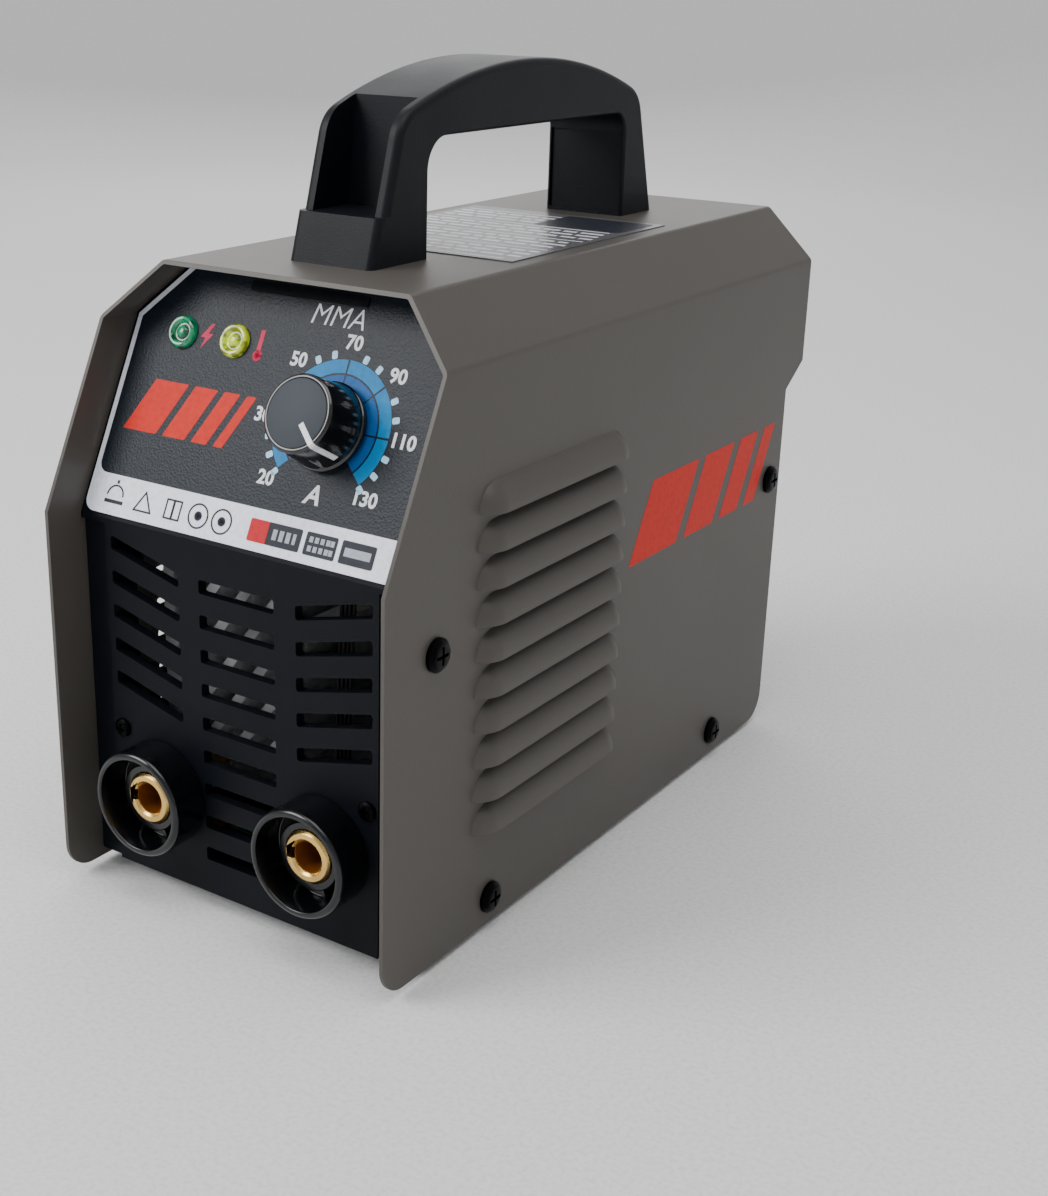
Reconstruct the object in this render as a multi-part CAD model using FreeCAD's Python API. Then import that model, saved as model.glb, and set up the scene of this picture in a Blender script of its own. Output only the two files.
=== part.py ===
import FreeCAD, Part
import math
import os

# Stick welding inverter. Millimetres, +Z up, the front faces -Y.
# Origin: on the bench, under the middle of the housing.
# "depth" is measured back from the cover's front edge and "height" up from the cover's lower edge.

Vector = FreeCAD.Vector
ALONG_X = Vector(1, 0, 0)
ALONG_Y = Vector(0, 1, 0)
ALONG_Z = Vector(0, 0, 1)
SIDES = (-1, 1)
TINY = 0.01                  # tolerance of a test on an edge's place
OVER = 1.0                   # how far a cutter or a joined piece reaches past a face

# --- housing -------------------------------------------------------------------------------
body_width = 115.0           # across the cover's side walls
body_depth = 240.0           # front edge of the cover to the rear edge of its hood
body_height = 177.0          # lower edge of the cover to its top
foot_lift = 2.0              # bench to the cover's lower edge
sheet = 1.2                  # thickness of cover and tray
slip = 0.3                   # gap between a housing part and the one that it slides into
touch_gap = 0.3              # gap between a moving piece and what stands beside it

# --- cover ---------------------------------------------------------------------------------
chamfer_run = 16.7           # sloping edge of the roof, sideways
chamfer_drop = 16.0          # sloping edge of the roof, downwards
fold_radius = 1.2            # inside radius of every bend
corner_radius = 9.0          # lower corners of the side walls
lean = math.radians(26.4)    # how far the upper front leans back
front_edge_drop = 66.0       # roof to where the cover's front edge starts to lean
hood_overhang = 12.0         # how far the hood stands out behind the lower rear edge
hood_drop = 50.0             # roof to the hood's lower corner
hood_slope = 8.0

louvre_pitch = 10.1
louvre_first = 31.0          # height of the lowest lip
louvre_rise = 7.8
louvre_headroom = 47.0       # roof to the top louvre, at least
louvre_bulge = 4.5
louvre_near = 40.0           # depth of the front end
louvre_far = 115.5

# --- screws --------------------------------------------------------------------------------
cover_screw_radius = 2.0
cover_screw_head = 4.6
cover_screw_length = 9.0
screw_clearance = 0.15       # between a screw and the hole that it passes through
panel_screw_depth = 21.8     # cover screws into the front panel
panel_screw_up = 90.0
rear_screw_inset = 20.5      # cover screws into the rear panel, in from the hood's edge
rear_screw_up = 89.5
tray_screw_depth = 50.0      # cover screws into the tray: front ones, and rear ones from the hood
tray_screw_inset = 52.0
tray_screw_up = 8.0
recess_slot = 0.9            # width of a cross recess
screw_boss_half = 5.0        # half size of the plastic blocks that take cover screws

# --- handle --------------------------------------------------------------------------------
handle_width = 28.0
handle_height = 50.5         # above the cover's top
handle_front = 55.1          # depth of the side walls at the cover's top
handle_rear_inset = 33.0     # hood's rear edge to the side walls of the rear end
handle_lean = 0.30           # run per rise of both ends
handle_sag = 17.6            # the arched top falls this much from its middle to the ends
handle_shoulder = 11.0       # radius between an end and the top
handle_edge = 2.2            # rounding of the long edges
grip_front = 78.5            # finger opening
grip_rear_inset = 21.0       # rear end to the finger opening
grip_height = 32.0
grip_front_corner = 9.0
grip_rear_corner = 6.0
grip_edge = 1.2
foot_block_height = 13.0
foot_block_proud = 2.6
pocket_wall = 3.6            # side walls of the pockets in the ends
pocket_back = 4.0            # wall between a pocket and the finger opening
strap_start = 0.5            # the strap over the top starts this far behind the opening's end
leg_panel_margin = 1.1
leg_panel_depth = 0.9
handle_screw_radius = 2.5
handle_screw_head = 4.5
handle_screw_spread = 7.0    # each side of the middle
handle_screw_inset = 14.5    # behind the end's foot
handle_screw_length = 10.0

label_width = 70.0
label_near = 88.0
label_gap = 10.0             # label to the rear leg
label_thickness = 0.3

# --- front panel ---------------------------------------------------------------------------
panel_recess = 12.0          # cover's front edge to the panel's face
panel_bottom = 3.0
panel_wall = 2.5
panel_face = 3.0
panel_flange = 18.0
face_half_width = 47.0       # raised middle of the lower face
border_step = 1.5
fascia_drop = 68.8           # roof to where the face folds back
slot_height = 4.0
slot_pitch = 10.0
slot_corner = 0.8
slot_drop = 10.7             # fold to the upper edge of the top slot
centre_slot_half = 13.0
centre_slot_sill = 14.4      # least from the panel's lower edge to a centre slot's upper edge
side_slot_inner = 20.2
side_slot_outer = 45.0
side_slot_sill = 11.0        # least from the collars to a side slot's upper edge
side_slot_rise = math.radians(14.0)
panel_screw_x = 43.5
panel_screw_height = 46.0
panel_screw_radius = 1.5
panel_screw_head = 2.8
panel_screw_length = 8.0

# fascia label, in fascia coordinates: x sideways, up measured from the fold
film_thickness = 0.4
film_margin = 1.0            # label to the edge of the panel
film_bottom = 1.2
film_corner = 3.5
boss_radius = 3.0
boss_spots = ((-45.0, 26.0), (45.0, 24.0), (-40.0, 63.5), (38.0, 63.5))

# --- current knob --------------------------------------------------------------------------
knob_x = 19.8
knob_up = 36.4
knob_base = 1.2
knob_skirt_radius = 11.9
knob_skirt_height = 2.2
knob_low_radius = 11.2
knob_top_radius = 10.3
knob_front = 16.0
knob_edge = 0.7
knob_recess_radius = 8.6
knob_recess = 5.0            # hollow in the knob's back
pointer_angle = math.radians(-45.0)
pointer_width = 1.4
pointer_depth = 0.6
pointer_inner = 3.6
shaft_radius = 3.0
shaft_front = 13.5
shaft_back = 8.5
shaft_end_gap = 1.0
running = 0.05               # radial clearance of a shaft in its bearing
bushing_radius = 3.5
bushing_front = 3.0
pot_radius = 8.0
pot_depth = 9.0
pot_nut_flats = 10.0
pot_nut_thick = 2.0

lamp_x = (-37.0, -18.5)
lamp_up = 54.4
lamp_radius = 4.7
lamp_proud = 2.2
lamp_dish_radius = 2.6
lamp_dish = 0.5              # depth of the dish in the lens
lamp_edge = 0.9
led_radius = 2.5
led_rim = 0.4
led_rim_height = 1.0
control_board_thick = 1.6
control_board_margin = 1.0   # board past the bosses that carry it
control_screw_length = 6.0

# --- output sockets ------------------------------------------------------------------------
socket_x = 28.5
socket_height = 30.4
collar_radius = 15.5
collar_bore = 13.4
collar_cavity = 10.0
collar_edge = 0.8
pillar_radius = 9.9
pillar_recess = 6.0
sleeve_radius = 11.5
ring_nut_flats = 27.0
ring_nut_thick = 5.0
insert_radius = 7.6
insert_recess = 5.0
insert_bore = 4.6            # for a 9 mm plug pin
insert_bore_depth = 17.0
insert_chamfer = 0.8
insert_length = 19.0
key_width = 3.2
key_depth = 1.8
key_length = 8.0
tail_radius = 4.0
tail_length = 12.0
tail_nut_flats = 13.0
tail_nut_thick = 6.5
washer_radius = 8.0
washer_thick = 1.2
bar_thick = 1.5
bar_width = 13.0
bar_foot = 17.0

# --- base tray, feet and boards ------------------------------------------------------------
tray_lift = 1.5
tray_flange = 15.0
tray_ear = 4.2               # half size of the ears that take the front panel's screws
tray_post_gap = 17.0         # each socket's axis to the post beside it
foot_x = 44.0
foot_inset = 36.0            # from the cover's front edge and from the hood's rear edge
foot_radius = 8.0
foot_stem = 3.0
foot_barb = 4.6
foot_tip = 2.5
foot_barb_height = 2.4
foot_edge = 1.0
board_near = 34.0
board_gap = 6.5              # rear edge of the main board to the fan
board_half = 50.0
board_thick = 1.6
standoff_height = 8.0
standoff_radius = 2.75
standoff_side = 5.0          # in from the board's sides
standoff_front = 12.0        # in from its front end
standoff_rear = 6.0
board_screw_radius = 1.5
board_screw_head = 2.7
board_screw_grip = 5.0       # thread in a standoff
chip = (15.6, 20.8, 5.0)     # a power transistor: width, length, thickness
chip_leg = 1.2
chip_leg_pitch = 5.4
chip_leg_length = 3.0
front_sink = (-41.0, 13.0, 42.0, 100.0)   # foot: low x, high x, near, far
rear_sink = (-41.0, -3.0, 108.0, 160.0)
rear_sink_top = 62.0
sink_base = 4.0
fin_thick = 1.4
fin_pitch = 5.8
comb_near = 28.0             # raking comb of the front heatsink, over the output bars
comb_reach = 45.0            # from its wall's outer side
comb_shelf = 40.0            # height of the shelf under it
comb_top = 93.0
comb_rake = math.radians(52.0)
comb_pitch = 11.0            # along the shelf
comb_fin = 3.0
capacitor_radius = 15.0
capacitor_height = 44.0
capacitor_x = 33.0
capacitor_depths = (62.0, 95.0)
capacitor_edge = 1.0
capacitor_groove = (3.0, 2.0, 0.8)   # height above the foot, width, depth
core_x = 26.0
core_lead = 20.0             # middle of the main board to the transformer
core_lift = 1.0
core_size = (42.0, 15.0, 38.0)
core_leg = 9.0
core_yoke = 6.0
core_centre = 12.0
winding_bulge = 7.0
winding_gap = 0.5
winding_corner = 4.0
choke_x = 26.0
choke_inset = 21.0           # rear edge of the main board to the middle of the choke
choke_outer = 17.0
choke_inner = 9.0
choke_width = 12.0
winding_thick = 2.0
choke_wound = 300.0          # degrees of the ring that carry wire
rectifier_size = (4.6, 28.0, 20.0)
rectifier_x = -13.0
rectifier_lift = 3.0
rectifier_legs = 4
rectifier_leg = (1.0, 1.2)
relay_size = (20.0, 16.0, 15.5)
relay_x = -39.0
relay_lift = 0.5
relay_pin = 0.5
relay_pin_inset = 2.0
small_part_inset = 27.0      # rear edge of the main board to the front of relay and rectifier
lead_radius = 1.4
thin_lead_radius = 0.6
thin_lead_pitch = 1.4
thin_lead_count = 4
thin_lead_x = 15.0

# --- rear panel, fan, switch and gland -----------------------------------------------------
rear_inset = 2.0             # rear face of the panel to the cover's lower rear edge
rear_flange = 16.0
fan_height = 55.0
fan_size = 80.0
fan_depth = 25.0
fan_rim = 1.7                # least wall round the fan's bore
fan_screw_inset = 4.25       # screw holes from the frame's edges
fan_corner = 3.0
fan_lip = 4.0
fan_hub = 16.5
fan_tip_gap = 0.8
fan_strut = 3.0
fan_strut_width = 3.6
barrel_inset = 0.2
rotor_gap = 1.0              # rotor to the struts, and to the rear panel's inner face
hub_wall = 1.5
hub_face = 2.0
hub_edge = 2.0
bearing_end = 6.0            # end of the bearing to the rear panel's inner face
bearing_radius = 4.0
spindle_radius = 1.5
blade_count = 7
blade_chord = 9.0
blade_rise = 7.0
blade_camber = 2.6
blade_thick = 1.4
wire_radius = 0.8
guard_first = 10.0           # radius of the smallest ring
guard_step = 8.0
guard_lift = 1.2             # rings stand this far behind the wires that carry them
guard_eye = 3.2
fan_screw_radius = 2.0
fan_screw_head = 3.9
fan_screw_end = 2.0          # thread past the fan's flange
switch_x = -27.0
switch_drop = 37.0           # roof to the middle of the switch
switch_bezel = (25.0, 31.0, 2.0)
switch_corner = 2.0
switch_body = (22.0, 28.0, 22.0)
rocker_width = 17.0
rocker_radius = 11.6
rocker_tilt = math.radians(8.0)
rocker_slope = math.radians(10.0)
rocker_pin = 1.3
rocker_sink = 1.5            # bezel's face to the rocker's axis
rocker_depth = 6.0
rocker_face = 1.6            # axis to the middle of the V face
pin_reach = 1.2              # of the rocker's pins into the housing's walls
terminal = (0.8, 6.3, 8.0)
terminal_spread = 6.0
terminal_heights = (-6.0, 6.0)
gland_x = 27.0
gland_drop = 39.0            # roof to the gland's axis
gland_thread = 8.0
gland_bore = 5.0
gland_flats = 22.0
gland_flange = 4.0
gland_cap_length = 9.6
gland_wall = 1.6             # throat outside the bore
gland_cap_skirt = 5.3        # straight part of the cap
gland_cap_lip = 2.0
gland_cap_chamfer = 1.4
gland_rib_count = 12
gland_rib = (1.0, 1.6, 5.8)
gland_seal_gap = 4.0         # cap's end to the seal
gland_tail = 11.0
gland_nut_thick = 4.0
gland_nut_flats = 24.0

# --- places worked out from the sizes above ------------------------------------------------
front = -body_depth / 2
half_width = body_width / 2
cover_top = foot_lift + body_height
front_edge_height = body_height - front_edge_drop
hood_height = body_height - hood_drop
front_screw_spot = (panel_screw_depth, panel_screw_up)
rear_screw_spot = (body_depth - rear_screw_inset, rear_screw_up)
tray_screw_spots = ((tray_screw_depth, tray_screw_up),
                    (body_depth - tray_screw_inset, tray_screw_up))
cover_screw_spots = (front_screw_spot, rear_screw_spot) + tray_screw_spots
louvre_radius = (louvre_rise ** 2 + louvre_bulge ** 2) / (2 * louvre_bulge)
louvre_room = body_height - louvre_headroom - louvre_rise - louvre_first
louvre_count = int(louvre_room / louvre_pitch) + 1
handle_rear = body_depth - handle_rear_inset
handle_middle = (handle_front + handle_rear) / 2
handle_crown = (((handle_rear - handle_front) / 2) ** 2 + handle_sag ** 2) / (2 * handle_sag)
grip_rear = handle_rear - grip_rear_inset
label_far = grip_rear - label_gap
fascia_fold = body_height - fascia_drop
top_slot = fascia_fold - slot_drop
centre_slot_count = int((top_slot - panel_bottom - centre_slot_sill) / slot_pitch) + 1
side_slot_count = int((top_slot - socket_height - collar_radius - side_slot_sill) / slot_pitch) + 1
rear_face = body_depth - hood_overhang - rear_inset
tray_top = tray_lift + sheet
foot_depths = (foot_inset, body_depth - foot_inset)
board_top = tray_top + standoff_height + board_thick
sink_foot = board_top + chip[2]
fan_back = rear_face - panel_wall
fan_front = fan_back - fan_depth
fan_bore = fan_size / 2 - fan_rim
fan_pitch = fan_size - 2 * fan_screw_inset
guard_count = int((fan_bore - guard_first) / guard_step) + 1
board_far = fan_front - board_gap
board_middle = (board_near + board_far) / 2
standoff_depths = (board_near + standoff_front, board_middle, board_far - standoff_rear)
core_depth = board_middle + core_lead
standoff_spots = [(side * (board_half - standoff_side), depth)
                  for side in SIDES for depth in standoff_depths]
choke_depth = board_far - choke_inset
small_part_near = board_far - small_part_inset
rocker_axis_depth = rear_face + switch_bezel[2] - rocker_sink
switch_height = body_height - switch_drop
gland_height = body_height - gland_drop


def y_at(depth):
    return front + depth


def z_at(height):
    return foot_lift + height


def block(x0, x1, d0, d1, h0, h1):
    """Box between two x, two depths and two heights."""
    return Part.makeBox(x1 - x0, d1 - d0, h1 - h0, Vector(x0, y_at(d0), z_at(h0)))


def prism(points, travel):
    """Closed solid from a flat outline swept along a vector."""
    return Part.Face(Part.makePolygon(points + points[:1])).extrude(travel)


def side_prism(outline, x0, x1):
    """Outline of (depth, height) points swept from x0 to x1."""
    points = [Vector(x0, y_at(d), z_at(h)) for d, h in outline]
    return prism(points, Vector(x1 - x0, 0, 0))


def front_prism(outline, d0, d1):
    """Outline of (x, height) points swept from one depth to another."""
    points = [Vector(x, y_at(d0), z_at(h)) for x, h in outline]
    return prism(points, Vector(0, d1 - d0, 0))


def rod_y(radius, x, height, d0, d1):
    return Part.makeCylinder(radius, d1 - d0, Vector(x, y_at(d0), z_at(height)), ALONG_Y)


def drill(radius, low, high, x=0.0, y=0.0):
    """Cylinder along Z between two heights, in a piece's own frame."""
    return Part.makeCylinder(radius, high - low, Vector(x, y, low))


def rod_z(radius, x, depth, h0, h1):
    return Part.makeCylinder(radius, h1 - h0, Vector(x, y_at(depth), z_at(h0)), ALONG_Z)


def rod_x(radius, x0, x1, depth, height):
    return Part.makeCylinder(radius, x1 - x0, Vector(x0, y_at(depth), z_at(height)), ALONG_X)


def hexagon(flats, thick):
    """Hexagonal prism on the XY plane, centred on Z."""
    radius = flats / math.sqrt(3)
    corners = [math.radians(60 * k) for k in range(6)]
    points = [Vector(radius * math.cos(a), radius * math.sin(a), 0) for a in corners]
    return prism(points, Vector(0, 0, thick))


def turned(profile):
    """Solid of revolution about Z from (radius, height) points."""
    points = [Vector(r, 0, z) for r, z in profile]
    return Part.Face(Part.makePolygon(points + points[:1])).revolve(Vector(0, 0, 0), ALONG_Z, 360)


def moved(shape, placement):
    """Copy of a shape carried by a placement."""
    copy = shape.copy()
    copy.Placement = placement.multiply(copy.Placement)
    return copy


def placed(shape, point, direction):
    """Copy of a shape made along Z, with its origin at a point and its Z along a direction."""
    return moved(shape, FreeCAD.Placement(point, FreeCAD.Rotation(ALONG_Z, direction)))


def shifted(shape, x, y, z):
    return moved(shape, FreeCAD.Placement(Vector(x, y, z), FreeCAD.Rotation()))


def mirrored(shape):
    """The same shape on the other side of the middle."""
    return shape.mirror(Vector(0, 0, 0), ALONG_X)


def joined(shapes):
    """One solid from several that overlap."""
    return shapes[0].multiFuse(shapes[1:]).removeSplitter()


def group(shapes):
    """Several separate solids in one node."""
    return Part.makeCompound(shapes)


def edges_along(shape, direction, keep):
    """Straight edges that run along a direction and whose middle passes a test."""
    found = []
    for edge in shape.Edges:
        straight = edge.Curve.TypeId == "Part::GeomLine"
        if straight and abs(edge.tangentAt(edge.FirstParameter).dot(direction)) > 0.999:
            if keep(edge.CenterOfMass):
                found.append(edge)
    return found


def rounded(shape, radius, direction, keep=lambda middle: True):
    """Shape with its edges along a direction rounded."""
    return shape.makeFillet(radius, edges_along(shape, direction, keep))


def pan_screw(radius, head, length):
    """Pan-head screw along -Z with its head's underside at the origin."""
    rise = 0.5 * head
    profile = [(0, -length), (radius, -length), (radius, 0), (head, 0), (head, 0.45 * rise),
               (0.8 * head, 0.85 * rise), (0.45 * head, rise), (0, rise)]
    screw = turned(profile)
    arm = 0.55 * head
    deep = 0.55 * rise
    for length_x, length_y in ((arm, recess_slot / 2), (recess_slot / 2, arm)):
        corner = Vector(-length_x, -length_y, rise - deep)
        screw = screw.cut(Part.makeBox(2 * length_x, 2 * length_y, deep, corner))
    return screw


def section(inset, bottom):
    """(x, height) outline of the housing down to a bottom, set in from the cover's outside."""
    wall = half_width - inset
    roof = body_height - inset
    slope = math.hypot(chamfer_run, chamfer_drop)
    across = chamfer_drop / slope
    upward = chamfer_run / slope
    reach = across * half_width + upward * (body_height - chamfer_drop) - inset
    shoulder = (reach - across * wall) / upward
    ridge = (reach - upward * roof) / across
    return [(-wall, bottom), (wall, bottom), (wall, shoulder),
            (ridge, roof), (-ridge, roof), (-wall, shoulder)]


def housing_prism(inset, bottom, d0, d1, fold):
    """The housing's section swept front to back, with its four upper folds rounded."""
    solid = front_prism(section(inset, bottom), d0, d1)
    return rounded(solid, fold, ALONG_Y, lambda middle: middle.z > z_at(bottom + OVER))


# --- cover ---------------------------------------------------------------------------------
def side_outline():
    """What the side walls cover, seen from the side."""
    rear = body_depth - hood_overhang
    roof = body_height + OVER
    top_depth = (roof - front_edge_height) * math.tan(lean)
    outline = [(0, 0), (0, front_edge_height), (top_depth, roof), (body_depth, roof),
               (body_depth, hood_height), (rear, hood_height - hood_slope), (rear, 0)]
    solid = side_prism(outline, -half_width - OVER, half_width + OVER)
    return rounded(solid, corner_radius, ALONG_X, lambda middle: middle.z < z_at(OVER))


def capsule(radius, lip):
    """Round-ended bar along Y, inside the right wall, level with a louvre's lip."""
    axis_x = half_width - louvre_radius + louvre_bulge
    near = y_at(louvre_near + louvre_rise)
    far = y_at(louvre_far - louvre_rise)
    z = z_at(lip)
    diagonal = radius * math.sqrt(0.5)
    start = Vector(axis_x, near - radius, z)
    end = Vector(axis_x, far + radius, z)
    top_near = Vector(axis_x, near, z + radius)
    top_far = Vector(axis_x, far, z + radius)
    bend_near = Vector(axis_x, near - diagonal, z + diagonal)
    bend_far = Vector(axis_x, far + diagonal, z + diagonal)
    edges = [Part.Arc(start, bend_near, top_near).toShape(),
             Part.LineSegment(top_near, top_far).toShape(),
             Part.Arc(top_far, bend_far, end).toShape(),
             Part.LineSegment(end, start).toShape()]
    return Part.Face(Part.Wire(edges)).revolve(start, ALONG_Y, 360)


def louvre(lip, radius, inner_x):
    """Upper half of a capsule from inner_x outwards, on the right wall."""
    outer_x = half_width + louvre_bulge + OVER
    zone = block(inner_x, outer_x, louvre_near - louvre_radius, louvre_far + louvre_radius,
                 lip, lip + louvre_radius + OVER)
    return capsule(radius, lip).common(zone)


def cover_shell():
    outer = housing_prism(0, 0, 0, body_depth, fold_radius + sheet)
    inner = housing_prism(sheet, -OVER, -OVER, body_depth + OVER, fold_radius)
    shell = outer.cut(inner).common(side_outline())
    lips = [louvre_first + louvre_pitch * k for k in range(louvre_count)]
    hoods = [louvre(lip, louvre_radius, half_width - sheet) for lip in lips]
    voids = [louvre(lip, louvre_radius - sheet, half_width - 2 * sheet) for lip in lips]
    shell = shell.fuse(hoods + [mirrored(hood) for hood in hoods])
    shell = shell.cut(voids + [mirrored(void) for void in voids])
    hole = cover_screw_radius + screw_clearance
    drills = [rod_x(hole, -half_width - OVER, half_width + OVER, depth, height)
              for depth, height in cover_screw_spots]
    post = handle_screw_radius + screw_clearance
    drills += [rod_z(post, x, depth, body_height - sheet - OVER, body_height + OVER)
               for x, depth in handle_screw_spots()]
    return shell.cut(drills)


def cover_screws():
    screw = pan_screw(cover_screw_radius, cover_screw_head, cover_screw_length)
    screws = []
    for side in SIDES:
        for depth, height in cover_screw_spots:
            spot = Vector(side * half_width, y_at(depth), z_at(height))
            screws.append(placed(screw, spot, Vector(side, 0, 0)))
    return group(screws)


# --- handle --------------------------------------------------------------------------------
def handle_end_line(height, proud=0.0):
    """Depths of the front and rear ends at a height above the cover's top."""
    run = handle_lean * height - proud
    return handle_front + run, handle_rear - run


def grip_opening():
    """Finger opening, with rounded upper corners."""
    half = handle_width / 2 + OVER
    top = body_height + grip_height
    hole = block(-half, half, grip_front, grip_rear, body_height - OVER, top)
    hole = rounded(hole, grip_front_corner, ALONG_X,
                   lambda middle: middle.z > z_at(top - OVER) and middle.y < y_at(handle_middle))
    return rounded(hole, grip_rear_corner, ALONG_X,
                   lambda middle: middle.z > z_at(top - OVER) and middle.y > y_at(handle_middle))


def end_pocket(back, outward):
    """Pocket in one end of the handle, open outwards and upwards as far as the strap."""
    half = handle_width / 2 - pocket_wall
    floor = body_height + foot_block_height
    roof = body_height + handle_height
    wall = back + outward * pocket_back
    strap = back - outward * strap_start
    outside = wall + outward * handle_width
    outline = [(outside, floor), (wall, floor), (strap, roof), (outside, roof)]
    return side_prism(outline, -half, half)


def leg_panel(face, outward, corner):
    """Shallow recess in the face of a leg that looks into the finger opening."""
    half = handle_width / 2 - leg_panel_margin
    low = body_height + leg_panel_margin
    high = body_height + grip_height - corner
    depths = sorted((face - outward, face + outward * leg_panel_depth))
    return block(-half, half, depths[0], depths[1], low, high)


def handle():
    half = handle_width / 2
    crown_height = body_height + handle_height - handle_crown
    crown = rod_x(handle_crown, -half, half, handle_middle, crown_height)
    low_front, low_rear = handle_end_line(0)
    high_front, high_rear = handle_end_line(handle_height + OVER)
    roof = body_height + handle_height + OVER
    ends = side_prism([(low_front, body_height), (high_front, roof),
                       (high_rear, roof), (low_rear, body_height)], -half - OVER, half + OVER)
    body = crown.common(ends)
    body = rounded(body, handle_shoulder, ALONG_X, lambda middle: middle.z > cover_top + OVER)
    rim = [edge for edge in body.Edges
           if abs(abs(edge.CenterOfMass.x) - half) < TINY and edge.CenterOfMass.z > cover_top + OVER]
    body = body.makeFillet(handle_edge, rim)
    body = body.fuse(front_foot())
    body = body.cut(grip_opening())
    grip_rim = [edge for edge in body.Edges
                if abs(abs(edge.CenterOfMass.x) - half) < TINY
                and grip_front - OVER < edge.CenterOfMass.y - front < grip_rear + OVER
                and cover_top + OVER < edge.CenterOfMass.z < cover_top + grip_height + OVER]
    body = body.makeFillet(grip_edge, grip_rim)
    body = body.cut([end_pocket(grip_front, -1), end_pocket(grip_rear, 1),
                     leg_panel(grip_front, -1, grip_front_corner),
                     leg_panel(grip_rear, 1, grip_rear_corner)])
    tap_end = body_height + handle_screw_length
    taps = [rod_z(handle_screw_radius, x, depth, body_height - OVER, tap_end)
            for x, depth in handle_screw_spots()]
    return body.cut(taps)


def front_foot():
    """Block at the foot of the front end, a little proud of it."""
    half = handle_width / 2
    low = handle_end_line(0, foot_block_proud)[0]
    high = handle_end_line(foot_block_height, foot_block_proud)[0]
    back = grip_front - pocket_back
    top = body_height + foot_block_height
    outline = [(low, body_height), (high, top), (back, top), (back, body_height)]
    solid = side_prism(outline, -half, half)
    outer = [edge for edge in solid.Edges
             if abs(abs(edge.CenterOfMass.x) - half) < TINY
             and abs(edge.CenterOfMass.y - y_at((low + high) / 2)) < TINY]
    return solid.makeFillet(handle_edge, outer)


def handle_screw_spots():
    """(x, depth) of the four screws under the handle's feet."""
    low_front, low_rear = handle_end_line(0)
    return [(side * handle_screw_spread, depth) for side in SIDES
            for depth in (low_front + handle_screw_inset, low_rear - handle_screw_inset)]


def handle_screws():
    screw = pan_screw(handle_screw_radius, handle_screw_head, handle_screw_length + sheet)
    under = z_at(body_height - sheet)
    return group([placed(screw, Vector(x, y_at(depth), under), Vector(0, 0, -1))
                  for x, depth in handle_screw_spots()])


def rating_label():
    half = label_width / 2
    return block(-half, half, label_near, label_far, body_height, body_height + label_thickness)


# --- front panel ---------------------------------------------------------------------------
FASCIA = FreeCAD.Placement(Vector(0, y_at(panel_recess), z_at(fascia_fold)),
                           FreeCAD.Rotation(ALONG_X, 90 - math.degrees(lean)))


def on_fascia(shape, x=0.0, up=0.0):
    """Shape made in fascia coordinates (x, up the slope, outwards), set at a point there."""
    return moved(shifted(shape, x, up, 0), FASCIA)


def fascia_rod(radius, x, up, low, high):
    return on_fascia(drill(radius, low, high), x, up)


def face_line(offset):
    """(depth, height) points of the panel's face, moved inwards by an offset."""
    fold = fascia_fold - offset * math.tan(lean / 2)
    depth = panel_recess + offset
    roof = body_height + OVER
    back = depth + (roof - fold) * math.tan(lean)
    return [(depth, panel_bottom - OVER), (depth, fold), (back, roof)]


def panel_body(inset, bottom, offset):
    """Space inside the housing from the panel's face back to the rear edge of its flange."""
    near = face_line(offset)
    far = [(depth + panel_flange, height) for depth, height in face_line(0)]
    zone = side_prism(near + far[::-1], -half_width, half_width)
    return housing_prism(inset, bottom, 0, body_depth, fold_radius).common(zone)


def side_slot(side, top):
    run = side_slot_outer - side_slot_inner
    rise = run * math.tan(side_slot_rise)
    inner = side * side_slot_inner
    outer = side * side_slot_outer
    points = [(inner, top - slot_height), (outer, top - slot_height + rise),
              (outer, top + rise), (inner, top)]
    slot = front_prism(points, panel_recess - OVER, panel_recess + panel_face + OVER)
    return rounded(slot, slot_corner, ALONG_Y)


def slots():
    near = panel_recess - OVER
    far = panel_recess + panel_face + OVER
    cuts = []
    for k in range(centre_slot_count):
        top = top_slot - slot_pitch * k
        slot = block(-centre_slot_half, centre_slot_half, near, far, top - slot_height, top)
        cuts.append(rounded(slot, slot_corner, ALONG_Y))
    for k in range(side_slot_count):
        cuts += [side_slot(side, top_slot - slot_pitch * k) for side in SIDES]
    return cuts


def screw_boss(side, spot):
    """Block inside a plastic panel's flange that takes a cover screw."""
    depth, height = spot
    outer = half_width - sheet - slip - panel_wall / 2
    inner = half_width - cover_screw_length - sheet
    half = screw_boss_half
    return block(*sorted((side * inner, side * outer)), depth - half, depth + half,
                 height - half, height + half)


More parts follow.
